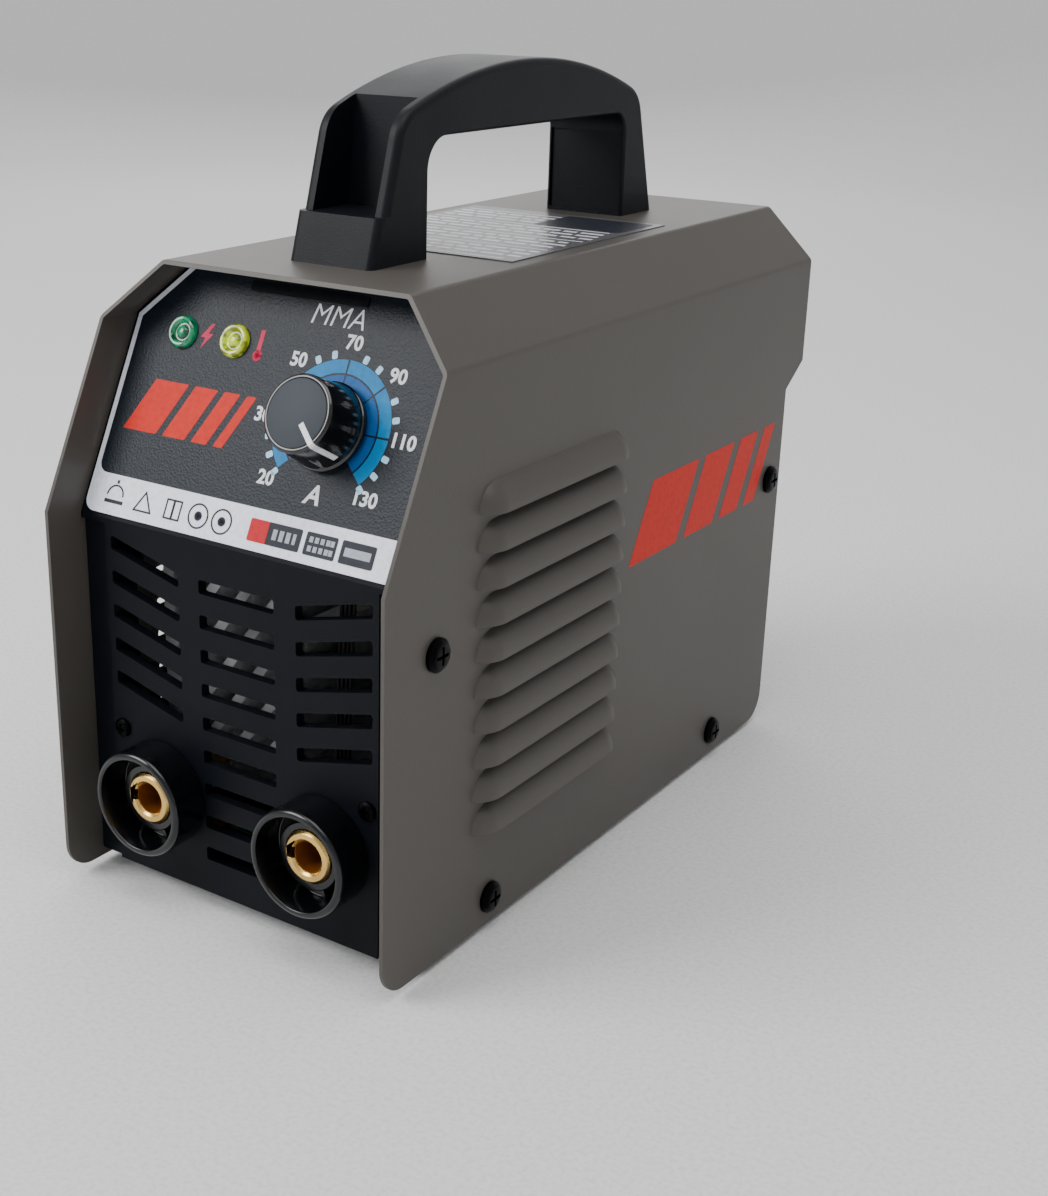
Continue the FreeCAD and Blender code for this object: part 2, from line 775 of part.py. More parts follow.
def front_panel():
    inset = sheet + slip
    back = panel_recess + panel_face
    body = panel_body(inset, panel_bottom, 0)
    body = body.cut(panel_body(inset + panel_wall, panel_bottom - OVER, panel_face))
    border_top = fascia_fold - border_step
    borders = [block(*sorted((side * face_half_width, side * (half_width + OVER))),
                     panel_recess - OVER, panel_recess + border_step, 0, border_top)
               for side in SIDES]
    body = body.cut(borders)
    bosses = [screw_boss(side, front_screw_spot) for side in SIDES]
    bosses += [fascia_rod(boss_radius, x, up, -pot_depth - panel_face, OVER - panel_face)
               for x, up in boss_spots]
    body = body.fuse(bosses)
    holes = slots()
    holes += [rod_y(sleeve_radius, side * socket_x, socket_height, panel_recess - OVER, back + OVER)
              for side in SIDES]
    holes += [rod_y(panel_screw_radius + screw_clearance, side * panel_screw_x, panel_screw_height,
                    panel_recess - OVER, back + OVER) for side in SIDES]
    holes += [rod_x(cover_screw_radius, -half_width, half_width, *front_screw_spot)]
    holes += [fascia_rod(lamp_radius, x, lamp_up, -panel_face - OVER, OVER) for x in lamp_x]
    holes.append(fascia_rod(bushing_radius, knob_x, knob_up, -panel_face - OVER, OVER))
    holes += [fascia_rod(board_screw_radius, x, up, -pot_depth - panel_face, -panel_face)
              for x, up in boss_spots]
    return body.cut(holes)


def panel_screws():
    screw = pan_screw(panel_screw_radius, panel_screw_head, panel_screw_length)
    spots = [Vector(side * panel_screw_x, y_at(panel_recess), z_at(panel_screw_height))
             for side in SIDES]
    return group([placed(screw, spot, Vector(0, -1, 0)) for spot in spots])


def fascia_label():
    """Printed label that follows the panel's outline at a margin."""
    outline = section(sheet + slip + film_margin, fascia_fold)
    slope = math.cos(lean)
    points = [Vector(x, max((height - fascia_fold) / slope, film_bottom), 0)
              for x, height in outline]
    film = prism(points, Vector(0, 0, film_thickness))
    film = rounded(film, film_corner, ALONG_Z, lambda middle: middle.y < film_bottom + OVER)
    high = film_thickness + OVER
    holes = [drill(lamp_radius, -OVER, high, x, lamp_up) for x in lamp_x]
    nut_hole = pot_nut_flats / math.sqrt(3) + screw_clearance
    holes.append(drill(nut_hole, -OVER, high, knob_x, knob_up))
    return on_fascia(film.cut(holes))


# --- current knob, potentiometer and lamps -------------------------------------------------
def knob_envelope(inset):
    """Outside of the knob, moved inwards by an inset."""
    base = knob_base + inset
    step = knob_base + knob_skirt_height - inset
    top = knob_front - inset
    profile = [(0, base), (knob_skirt_radius - inset, base), (knob_skirt_radius - inset, step),
               (knob_low_radius - inset, step), (knob_top_radius - inset, top - knob_edge),
               (knob_top_radius - inset - knob_edge, top), (0, top)]
    return turned(profile)


def pointer_slab():
    """Thin radial slab, from near the middle of the knob's face down to the skirt."""
    low = knob_base + knob_skirt_height
    corner = Vector(pointer_inner, -pointer_width / 2, low)
    slab = Part.makeBox(knob_skirt_radius, pointer_width, knob_front, corner)
    slab.rotate(Vector(0, 0, 0), ALONG_Z, math.degrees(pointer_angle))
    return slab


def knob_inlay():
    return pointer_slab().common(knob_envelope(0)).cut(knob_envelope(pointer_depth))


def knob():
    body = knob_envelope(0).cut(knob_inlay())
    recess = drill(knob_recess_radius, knob_base - OVER, knob_base + knob_recess)
    bore = drill(shaft_radius, 0, shaft_front)
    return on_fascia(body.cut([recess, bore]), knob_x, knob_up)


def knob_pointer():
    return on_fascia(knob_inlay(), knob_x, knob_up)


def pot_shaft():
    low = shaft_end_gap - panel_face - shaft_back
    return fascia_rod(shaft_radius, knob_x, knob_up, low, shaft_front)


def pot_body():
    back = -panel_face
    can = drill(pot_radius, back - pot_depth, back)
    bushing = drill(bushing_radius, back, bushing_front)
    bore = drill(shaft_radius + running, back - shaft_back, bushing_front + OVER)
    return on_fascia(can.fuse(bushing).cut(bore), knob_x, knob_up)


def pot_nut():
    nut = hexagon(pot_nut_flats, pot_nut_thick)
    return on_fascia(nut.cut(Part.makeCylinder(bushing_radius, pot_nut_thick)), knob_x, knob_up)


def lamp_lens(x):
    """Clear cap with a dished, chamfered front."""
    floor = lamp_proud - lamp_dish
    profile = [(0, floor), (lamp_dish_radius - lamp_dish, floor), (lamp_dish_radius, lamp_proud),
               (lamp_radius - lamp_edge, lamp_proud), (lamp_radius, lamp_proud - lamp_edge),
               (lamp_radius, -panel_face), (0, -panel_face)]
    return on_fascia(turned(profile), x, lamp_up)


def indicator_leds():
    low = -panel_face - pot_depth
    leds = []
    for x in lamp_x:
        body = drill(led_radius, low, -panel_face - led_radius)
        dome = Part.makeSphere(led_radius, Vector(0, 0, -panel_face - led_radius))
        rim = drill(led_radius + led_rim, low, low + led_rim_height)
        leds.append(on_fascia(joined([body, dome, rim]), x, lamp_up))
    return group(leds)


def control_board():
    """Board behind the fascia that carries the potentiometer and the LEDs."""
    margin = boss_radius + control_board_margin
    left = min(x for x, up in boss_spots) - margin
    right = max(x for x, up in boss_spots) + margin
    low = min(up for x, up in boss_spots) - margin
    high = max(up for x, up in boss_spots) + margin
    back = -panel_face - pot_depth - control_board_thick
    board = Part.makeBox(right - left, high - low, control_board_thick, Vector(left, low, back))
    hole = board_screw_radius + screw_clearance
    holes = [drill(hole, back - OVER, back + control_board_thick + OVER, x, up)
             for x, up in boss_spots]
    return on_fascia(board.cut(holes))


def control_board_screws():
    back = -panel_face - pot_depth - control_board_thick
    screw = pan_screw(board_screw_radius, board_screw_head, control_screw_length)
    screw.rotate(Vector(0, 0, 0), ALONG_X, 180)
    return group([on_fascia(shifted(screw, 0, 0, back), x, up) for x, up in boss_spots])


# --- output sockets ------------------------------------------------------------------------
def at_socket(shape, side, depth):
    """Shape made along Z, set on a socket's axis with its Z towards the front."""
    spot = Vector(side * socket_x, y_at(depth), z_at(socket_height))
    return placed(shape, spot, Vector(0, -1, 0))


def socket_collar(side):
    """Insulating collar; profile heights are measured back from its rim."""
    floor = -collar_cavity
    base = -panel_recess
    tail = base - panel_face - ring_nut_thick
    profile = [(collar_bore, 0), (collar_radius - collar_edge, 0), (collar_radius, -collar_edge),
               (collar_radius, base), (sleeve_radius, base), (sleeve_radius, tail),
               (insert_radius, tail), (insert_radius, -pillar_recess),
               (pillar_radius, -pillar_recess), (pillar_radius, floor), (collar_bore, floor)]
    return at_socket(turned(profile), side, 0)


def socket_insert(side):
    """Brass insert with its bore, keyway and threaded tail."""
    end = -insert_length
    mouth = insert_bore + insert_chamfer
    profile = [(mouth, 0), (insert_radius - insert_chamfer, 0), (insert_radius, -insert_chamfer),
               (insert_radius, end), (tail_radius, end), (tail_radius, end - tail_length),
               (0, end - tail_length), (0, -insert_bore_depth), (insert_bore, -insert_bore_depth),
               (insert_bore, -insert_chamfer)]
    key = Part.makeBox(key_width, insert_bore + key_depth, key_length,
                       Vector(-key_width / 2, 0, -key_length))
    body = turned(profile)
    key.rotate(Vector(0, 0, 0), ALONG_Z, 90)
    return at_socket(body.cut(key), side, insert_recess)


def ring_washer(outer, inner, thick):
    return Part.makeCylinder(outer, thick).cut(Part.makeCylinder(inner, thick))


def socket_ring_nuts():
    nut = hexagon(ring_nut_flats, ring_nut_thick)
    nut = nut.cut(Part.makeCylinder(sleeve_radius, ring_nut_thick))
    back = panel_recess + panel_face + ring_nut_thick
    return group([at_socket(nut, side, back) for side in SIDES])


def tail_depth():
    return insert_recess + insert_length


def output_bar(side):
    """Copper strap from a socket's tail down to the main board."""
    x = side * socket_x
    half = bar_width / 2
    near = tail_depth()
    top = socket_height + half
    upright = block(x - half, x + half, near, near + bar_thick, board_top, top)
    foot = block(x - half, x + half, near, near + bar_foot, board_top, board_top + bar_thick)
    strap = upright.fuse(foot).removeSplitter()
    return strap.cut(rod_y(tail_radius, x, socket_height, near - OVER, near + bar_thick + OVER))


def socket_washers():
    washer = ring_washer(washer_radius, tail_radius, washer_thick)
    depth = tail_depth() + bar_thick + washer_thick
    return group([at_socket(washer, side, depth) for side in SIDES])


def socket_tail_nuts():
    nut = hexagon(tail_nut_flats, tail_nut_thick)
    nut = nut.cut(Part.makeCylinder(tail_radius, tail_nut_thick))
    depth = tail_depth() + bar_thick + washer_thick + tail_nut_thick
    return group([at_socket(nut, side, depth) for side in SIDES])


# --- base tray, feet and main board --------------------------------------------------------
def tray_trough(inset, near, far, low, radius):
    """Space between the tray's flanges, set in from its outside."""
    half = half_width - sheet - slip - inset
    space = block(-half, half, near, far, low, tray_lift + tray_flange + inset)
    return rounded(space, radius, ALONG_Y, lambda middle: middle.z < z_at(low + OVER))


def tray_notches(near, far):
    """Cuts in the flanges where a plastic panel's sides stand outside them."""
    inner = half_width - 3 * sheet - slip - panel_wall
    return [block(*sorted((side * inner, side * half_width)), near, far,
                  tray_top, tray_lift + tray_flange + OVER) for side in SIDES]


def tray_post(side, near):
    """Upright strip of the tray with an ear at its top, behind a screw of the front panel."""
    outer = half_width - 3 * sheet - slip - panel_wall
    post_inner = socket_x + tray_post_gap
    top = panel_screw_height + tray_ear
    post = block(*sorted((side * post_inner, side * outer)), near, near + sheet, tray_lift, top)
    ear_x = sorted((side * (panel_screw_x - tray_ear), side * (post_inner + OVER)))
    return [post, block(*ear_x, near, near + sheet, panel_screw_height - tray_ear, top)]


def base_tray():
    near = panel_recess + panel_face + slip
    far = rear_face - panel_wall - slip
    tray = tray_trough(0, near, far, tray_lift, fold_radius + sheet)
    tray = tray.cut(tray_trough(sheet, near - OVER, far + OVER, tray_top, fold_radius))
    tray = tray.cut(tray_notches(near - OVER, panel_recess + panel_flange + slip))
    tray = tray.cut(tray_notches(rear_face - rear_flange - slip, far + OVER))
    tray = joined([tray] + tray_post(-1, near) + tray_post(1, near))
    holes = [rod_x(cover_screw_radius, -half_width, half_width, *spot)
             for spot in tray_screw_spots]
    holes += [rod_y(panel_screw_radius, side * panel_screw_x, panel_screw_height,
                    near - OVER, near + sheet + OVER) for side in SIDES]
    holes += [rod_z(foot_stem, side * foot_x, depth, 0, tray_top + OVER)
              for side in SIDES for depth in foot_depths]
    return tray.cut(holes)


def rubber_feet():
    """Push-in feet: sole, stem through the tray and barb above it."""
    sole = foot_lift + tray_lift
    tip = sole + sheet + foot_barb_height
    profile = [(0, 0), (foot_radius - foot_edge, 0), (foot_radius, foot_edge),
               (foot_radius, sole), (foot_stem, sole), (foot_stem, sole + sheet),
               (foot_barb, sole + sheet), (foot_tip, tip), (0, tip)]
    foot = turned(profile)
    return group([shifted(foot, side * foot_x, y_at(depth), 0)
                  for side in SIDES for depth in foot_depths])


def board_standoffs():
    low = tray_top
    posts = []
    for x, depth in standoff_spots:
        post = shifted(hexagon(2 * standoff_radius, standoff_height), x, y_at(depth), z_at(low))
        bore = rod_z(board_screw_radius, x, depth, low - OVER, low + standoff_height + OVER)
        posts.append(post.cut(bore))
    return group(posts)


def main_board():
    low = board_top - board_thick
    board = block(-board_half, board_half, board_near, board_far, low, board_top)
    hole = board_screw_radius + screw_clearance
    return board.cut([rod_z(hole, x, depth, low - OVER, board_top + OVER)
                      for x, depth in standoff_spots])


def board_screws():
    screw = pan_screw(board_screw_radius, board_screw_head, board_thick + board_screw_grip)
    return group([shifted(screw, x, y_at(depth), z_at(board_top))
                  for x, depth in standoff_spots])


def heatsink_rear():
    """Extruded sink with upright fins that run front to back."""
    low_x, high_x, near, far = rear_sink
    base_top = sink_foot + sink_base
    pieces = [block(low_x, high_x, near, far, sink_foot, base_top)]
    count = int((high_x - low_x - fin_thick) / fin_pitch) + 1
    for k in range(count):
        x = low_x + fin_pitch * k
        pieces.append(block(x, x + fin_thick, near, far, base_top - OVER, rear_sink_top))
    return joined(pieces)


def raking_fins(low_x, near, far):
    """Fins that lean over a shelf, cut off square at the side and at the top."""
    right = low_x + comb_reach
    rise = comb_top - comb_shelf
    run = rise / math.tan(comb_rake)
    width = comb_fin / math.sin(comb_rake)
    count = int((comb_reach + run) / comb_pitch)
    fins = []
    for k in range(count):
        x = right - comb_pitch * (k + 1)
        outline = [(x, comb_shelf), (x + width, comb_shelf),
                   (x + width + run, comb_top), (x + run, comb_top)]
        fins.append(front_prism(outline, near, far))
    room = block(low_x, right, near, far, comb_shelf, comb_top)
    return [fin.common(room) for fin in fins]


def heatsink_front():
    """Extruded sink: foot on the transistors, wall, and a shelf with raking fins."""
    low_x, high_x, near, far = front_sink
    wall = low_x + sink_base
    pieces = [block(low_x, high_x, near, far, sink_foot, sink_foot + sink_base),
              block(low_x, wall, near, far, sink_foot, comb_top),
              block(low_x, wall, comb_near, far, comb_shelf, comb_top),
              block(low_x, low_x + comb_reach, comb_near, far, comb_shelf - fin_thick, comb_shelf)]
    return joined(pieces + raking_fins(low_x, comb_near, far))


def chips(size, across, along):
    """Power devices lying between the main board and a heatsink's base, each with three legs."""
    low_x, high_x, near, far = size
    width, length, thick = chip
    devices = []
    for i in range(across):
        x = low_x + (high_x - low_x) * (i + 0.5) / across
        for j in range(along):
            depth = near + (far - near) * (j + 0.5) / along
            body = block(x - width / 2, x + width / 2, depth - length / 2, depth + length / 2,
                         board_top, sink_foot)
            far_end = depth + length / 2
            legs = [block(leg_x - chip_leg / 2, leg_x + chip_leg / 2, far_end - OVER,
                          far_end + chip_leg_length, board_top, board_top + chip_leg)
                    for leg_x in (x - chip_leg_pitch, x, x + chip_leg_pitch)]
            devices.append(joined([body] + legs))
    return group(devices)


def bus_capacitors():
    """Cans with a rolled groove near the foot."""
    low, width, deep = capacitor_groove
    outer = capacitor_radius
    top = capacitor_height
    profile = [(0, 0), (outer, 0), (outer, low), (outer - deep, low + width / 2),
               (outer, low + width), (outer, top - capacitor_edge),
               (outer - capacitor_edge, top), (0, top)]
    can = turned(profile)
    return group([shifted(can, capacitor_x, y_at(depth), z_at(board_top))
                  for depth in capacitor_depths])


def bridge_rectifier():
    """Flat rectifier standing on its legs."""
    thick, length, tall = rectifier_size
    low = board_top + rectifier_lift
    far = small_part_near + length
    pieces = [block(rectifier_x, rectifier_x + thick, small_part_near, far, low, low + tall)]
    leg_x, leg_y = rectifier_leg
    middle = rectifier_x + thick / 2
    for k in range(rectifier_legs):
        depth = small_part_near + length * (k + 0.5) / rectifier_legs
        pieces.append(block(middle - leg_x / 2, middle + leg_x / 2, depth - leg_y / 2,
                            depth + leg_y / 2, board_top, low + OVER))
    return joined(pieces)


def soft_start_relay():
    width, length, tall = relay_size
    low = board_top + relay_lift
    near = small_part_near
    far = near + length
    case = block(relay_x, relay_x + width, near, far, low, low + tall)
    pins = [rod_z(relay_pin, x, depth, board_top, low + OVER)
            for x in (relay_x + relay_pin_inset, relay_x + width - relay_pin_inset)
            for depth in (near + relay_pin_inset, far - relay_pin_inset)]
    return joined([case] + pins)


def core_block(width, depth_size, low, high):
    return block(core_x - width / 2, core_x + width / 2, core_depth - depth_size / 2,
                 core_depth + depth_size / 2, low, high)


def core_window_gap():
    """Lower and upper heights of the core's windows."""
    low = board_top + core_lift
    return low + core_yoke, low + core_size[2] - core_yoke


def transformer_core():
    width, thick, tall = core_size
    low, high = core_window_gap()
    frame = core_block(width, thick, low - core_yoke, low - core_yoke + tall)
    window = core_block(width - 2 * core_leg, thick + OVER, low, high)
    return joined([frame.cut(window), core_block(core_centre, thick, low - OVER, high + OVER)])


def transformer_winding():
    width, thick, tall = core_size
    low, high = core_window_gap()
    coil_width = width - 2 * core_leg - 2 * winding_gap
    coil = core_block(coil_width, thick + 2 * winding_bulge, low + winding_gap, high - winding_gap)
    coil = rounded(coil, winding_corner, ALONG_Z)
    return coil.cut(core_block(core_centre, thick, low, high))


def choke_ring(radial, along, angle):
    """Ring with a square section about the choke's axis, thickened by two allowances."""
    middle = board_top + choke_outer + winding_thick
    half = choke_width / 2 + along
    inner = choke_inner - radial
    outer = choke_outer + radial
    points = [Vector(inner, -half, 0), Vector(outer, -half, 0),
              Vector(outer, half, 0), Vector(inner, half, 0)]
    ring = Part.Face(Part.makePolygon(points + points[:1])).revolve(Vector(0, 0, 0), ALONG_Y, angle)
    ring.rotate(Vector(0, 0, 0), ALONG_Y, 270 - angle / 2)
    return shifted(ring, choke_x, y_at(choke_depth), z_at(middle))


def choke_core():
    return choke_ring(0, 0, 360)


def choke_winding():
    return choke_ring(winding_thick, winding_thick, choke_wound).cut(choke_core())


# --- rear panel ----------------------------------------------------------------------------
def rear_panel():
    inset = sheet + slip
    near = rear_face - rear_flange
    body = housing_prism(inset, panel_bottom, near, rear_face, fold_radius)
    body = body.cut(housing_prism(inset + panel_wall, panel_bottom - OVER, near - OVER,
                                  rear_face - panel_wall, fold_radius))
    body = body.fuse([screw_boss(side, rear_screw_spot) for side in SIDES])
    holes = [rod_x(cover_screw_radius, -half_width, half_width, *rear_screw_spot),
             rod_y(fan_bore, 0, fan_height, fan_back - OVER, rear_face + OVER),
             rod_y(gland_thread, gland_x, gland_height, fan_back - OVER, rear_face + OVER)]
    width, tall, deep = switch_body
    holes.append(switch_block(width, tall, fan_back - OVER, rear_face + OVER))
    hole = fan_screw_radius + screw_clearance
    holes += [rod_y(hole, x, height, fan_back - OVER, rear_face + OVER)
              for x, height in fan_screw_spots()]
    return body.cut(holes)


# --- fan -----------------------------------------------------------------------------------
def fan_screw_spots():
    half = fan_pitch / 2
    return [(x * half, fan_height + up * half) for x in SIDES for up in SIDES]


def fan_frame():
    half = fan_size / 2
    flanges = []
    for near in (fan_front, fan_back - fan_lip):
        plate = block(-half, half, near, near + fan_lip, fan_height - half, fan_height + half)
        flanges.append(rounded(plate, fan_corner, ALONG_Y))
    barrel = rod_y(half - barrel_inset, 0, fan_height, fan_front, fan_back)
    body = barrel.fuse(flanges)
    body = body.cut(rod_y(fan_bore, 0, fan_height, fan_front - OVER, fan_back + OVER))
    hub = rod_y(fan_hub, 0, fan_height, fan_front, fan_front + fan_strut)
    bearing = rod_y(bearing_radius, 0, fan_height, fan_front, fan_back - bearing_end)
    struts = []
    for k in range(4):
        strut = block(-fan_strut_width / 2, fan_strut_width / 2, fan_front, fan_front + fan_strut,
                      fan_height + fan_hub - OVER, fan_height + fan_bore + fan_rim / 2)
        strut.rotate(Vector(0, 0, z_at(fan_height)), ALONG_Y, 45 + 90 * k)
        struts.append(strut)
    body = body.fuse([hub, bearing] + struts)
    holes = [rod_y(spindle_radius + running, 0, fan_height, fan_front + rotor_gap, fan_back)]
    holes += [rod_y(fan_screw_radius, x, height, fan_front - OVER, fan_back + OVER)
              for x, height in fan_screw_spots()]
    return body.cut(holes)


def fan_blade():
    """Cambered, pitched blade that points up from the origin, airflow along Y."""
    low = [Vector(-blade_chord, -blade_rise, 0), Vector(-blade_camber, blade_camber, 0),
           Vector(blade_chord, blade_rise, 0)]
    high = [point + ALONG_Y * blade_thick for point in low]
    edges = [Part.Arc(*low).toShape(), Part.LineSegment(low[2], high[2]).toShape(),
             Part.Arc(*high[::-1]).toShape(), Part.LineSegment(high[0], low[0]).toShape()]
    face = Part.Face(Part.Wire(edges))
    face.translate(Vector(0, 0, fan_hub - hub_wall))
    return face.extrude(Vector(0, 0, fan_bore - fan_hub + hub_wall + OVER))


def fan_rotor():
    near = fan_front + fan_strut + rotor_gap
    far = fan_back - rotor_gap
    middle = Vector(0, y_at((near + far) / 2 - blade_thick / 2), z_at(fan_height))
    sweep = rod_y(fan_bore - fan_tip_gap, 0, fan_height, near, far)
    blades = []
    for k in range(blade_count):
        blade = shifted(fan_blade(), *middle)
        blade.rotate(middle, ALONG_Y, 360 * k / blade_count)
        blades.append(blade.common(sweep))
    cup = rod_y(fan_hub, 0, fan_height, near, far)
    cup = rounded_rim(cup, hub_edge, far)
    cup = cup.cut(rod_y(fan_hub - hub_wall, 0, fan_height, near - OVER, far - hub_face))
    spindle = rod_y(spindle_radius, 0, fan_height, near, far - hub_face / 2)
    inside = rod_y(fan_hub - hub_wall / 2, 0, fan_height, near - OVER, far - hub_face / 2)
    return joined([cup, spindle] + [blade.cut(inside) for blade in blades])


def rounded_rim(shape, radius, depth):
    """Shape with its circular edges at a depth rounded."""
    rim = [edge for edge in shape.Edges if abs(edge.CenterOfMass.y - y_at(depth)) < TINY
           and edge.Curve.TypeId == "Part::GeomCircle"]
    return shape.makeFillet(radius, rim)


def fan_guard():
    """Wire finger guard: rings on four diagonal wires that end in eyes round the fan's screws."""
    back = rear_face + wire_radius
    spot = Vector(0, y_at(back + guard_lift), z_at(fan_height))
    rings = [Part.makeTorus(guard_first + guard_step * k, wire_radius, spot, ALONG_Y)
             for k in range(guard_count)]
    reach = fan_pitch / 2 * math.sqrt(2)
    centre = Vector(0, y_at(back), z_at(fan_height))
    wires = []
    for k in range(4):
        wire = rod_z(wire_radius, 0, back, fan_height + guard_first - OVER,
                     fan_height + reach - guard_eye)
        ring = Part.makeTorus(guard_eye, wire_radius, centre + Vector(0, 0, reach), ALONG_Y)
        for piece in (wire, ring):
            piece.rotate(centre, ALONG_Y, 45 + 90 * k)
        wires += [wire, ring]
    return joined(rings + wires)


def fan_screws():
    length = 2 * wire_radius + panel_wall + fan_lip + fan_screw_end
    screw = pan_screw(fan_screw_radius, fan_screw_head, length)
    head = rear_face + 2 * wire_radius
    return group([placed(screw, Vector(x, y_at(head), z_at(height)), ALONG_Y)
                  for x, height in fan_screw_spots()])


# --- mains switch --------------------------------------------------------------------------
def switch_block(width, tall, d0, d1):
    return block(switch_x - width / 2, switch_x + width / 2, d0, d1,
                 switch_height - tall / 2, switch_height + tall / 2)


def switch_housing():
    width, tall, thick = switch_bezel
    face = rear_face + thick
    bezel = rounded(switch_block(width, tall, rear_face, face), switch_corner, ALONG_Y)
    width, tall, deep = switch_body
    body = bezel.fuse(switch_block(width, tall, rear_face - deep, face - OVER))
    well_length = 2 * (rocker_radius + touch_gap)
    well_width = rocker_width + 2 * touch_gap
    well_floor = rocker_axis_depth - rocker_radius - rocker_pin
    body = body.cut(switch_block(well_width, well_length, well_floor, face + OVER))
    half = well_width / 2 + pin_reach + touch_gap
    body = body.cut(rod_x(rocker_pin + running, switch_x - half, switch_x + half,
                          rocker_axis_depth, switch_height))
    blade, broad, length = terminal
    blades = []
    for x in (switch_x - terminal_spread, switch_x + terminal_spread):
        for height in terminal_heights:
            middle = switch_height + height
            blades.append(block(x - blade / 2, x + blade / 2, rear_face - deep - length,
                                rear_face - deep + OVER, middle - broad / 2, middle + broad / 2))
    return body.fuse(blades).removeSplitter()


def switch_rocker():
    """Rocker with a shallow V face, tipped to its lower, switched-off position."""
    half = rocker_width / 2
    body = rod_x(rocker_radius, switch_x - half, switch_x + half, rocker_axis_depth, switch_height)
    back = rocker_axis_depth - rocker_depth
    face = rocker_axis_depth + rocker_face
    low = switch_height - 2 * rocker_radius
    high = switch_height + 2 * rocker_radius
    wing = face + math.tan(rocker_slope) * 2 * rocker_radius
    keep = [(back, low), (wing, low), (face, switch_height), (wing, high), (back, high)]
    body = body.common(side_prism(keep, switch_x - half - OVER, switch_x + half + OVER))
    pin_half = half + touch_gap + pin_reach
    body = body.fuse(rod_x(rocker_pin, switch_x - pin_half, switch_x + pin_half,
                           rocker_axis_depth, switch_height))
    axis = Vector(switch_x, y_at(rocker_axis_depth), z_at(switch_height))
    body.rotate(axis, ALONG_X, -math.degrees(rocker_tilt))
    return body


# --- cable gland ---------------------------------------------------------------------------
def at_gland(shape, depth):
    """Shape made along Z, set on the gland's axis with its Z towards the rear."""
    return placed(shape, Vector(gland_x, y_at(depth), z_at(gland_height)), ALONG_Y)


def gland_body():
    """Threaded tail, hexagonal flange and throat, with the bore through them."""
    base = panel_wall + gland_tail
    top = base + gland_flange
    flange = shifted(hexagon(gland_flats, gland_flange), 0, 0, base)
    thread = drill(gland_thread, 0, top)
    throat = drill(gland_bore + gland_wall, base, top + gland_cap_length - gland_seal_gap)
    body = joined([thread, flange, throat]).cut(drill(gland_bore, -OVER, top + gland_cap_length))
    return at_gland(body, rear_face - base)


def gland_cap():
    """Ribbed dome nut over the gland's throat."""
    inner = gland_bore + gland_wall
    thick, width, length = gland_rib
    skin = gland_flats / 2 - thick / 2
    end = gland_cap_length
    profile = [(inner, 0), (skin, 0), (skin, gland_cap_skirt),
               (skin - gland_cap_chamfer, end - gland_cap_chamfer),
               (skin - 2 * gland_cap_chamfer, end), (gland_bore, end),
               (gland_bore, end - gland_cap_lip), (inner, end - gland_cap_lip)]
    ribs = []
    for k in range(gland_rib_count):
        rib = Part.makeBox(thick, width, length, Vector(gland_flats / 2 - thick, -width / 2, 0))
        rib.rotate(Vector(0, 0, 0), ALONG_Z, 360 * k / gland_rib_count)
        ribs.append(rib)
    return at_gland(joined([turned(profile)] + ribs), rear_face + gland_flange)


def gland_seal():
    """Rubber ring between the throat and the cap's lip."""
    ring = ring_washer(gland_bore + gland_wall, gland_bore, gland_seal_gap - gland_cap_lip)
    return at_gland(ring, rear_face + gland_flange + gland_cap_length - gland_seal_gap)


def gland_locknut():
    nut = hexagon(gland_nut_flats, gland_nut_thick).cut(drill(gland_thread, 0, gland_nut_thick))
    return at_gland(nut, fan_back - gland_nut_thick)


# --- internal leads ------------------------------------------------------------------------
def lead(points, radius):
    """Round wire along straight runs joined by tangent arcs."""
    spots = [Vector(x, y_at(d), z_at(h)) for x, d, h in points]
    edges = []
    start = spots[0]
    for before, corner, after in zip(spots, spots[1:], spots[2:]):
        into = (corner - before).normalize()
        out = (after - corner).normalize()
        turn = into.getAngle(out)
        run = min((corner - before).Length, (after - corner).Length)
        reach = 0.45 * run
        bend = reach / math.tan(turn / 2)
        enter = corner - into * reach
        leave = corner + out * reach
        inward = (out - into).normalize()
        middle = corner + inward * (bend / math.cos(turn / 2) - bend)
        edges.append(Part.LineSegment(start, enter).toShape())
        edges.append(Part.Arc(enter, middle, leave).toShape())
        start = leave
    edges.append(Part.LineSegment(start, spots[-1]).toShape())
    path = Part.Wire(edges)
    ring = Part.Wire(Part.makeCircle(radius, spots[0], spots[1] - spots[0]))
    return path.makePipeShell([ring], True, False)


def switch_leads():
    """Two wires from the lower terminals of the switch down to the main board."""
    start = rear_face - switch_body[2] - terminal[2]
    height = switch_height + terminal_heights[0]
    landing = board_far - 4
    leads = []
    for x in (switch_x - terminal_spread, switch_x + terminal_spread):
        low_x = x - 4
        leads.append(lead([(x, start, height), (x, start - 12, height), (low_x, landing - 12, height - 44),
                           (low_x, landing, board_top + 28), (low_x, landing, board_top)], lead_radius))
    return group(leads)


def fan_lead():
    """Wire from the fan's frame down to the main board."""
    x = -fan_size / 4
    height = fan_height - fan_size / 2 + 3
    landing = board_far - 3
    return lead([(x, fan_front, height), (x, fan_front - 5, height), (x, landing, board_top + 3),
                 (x, landing, board_top)], thin_lead_radius)


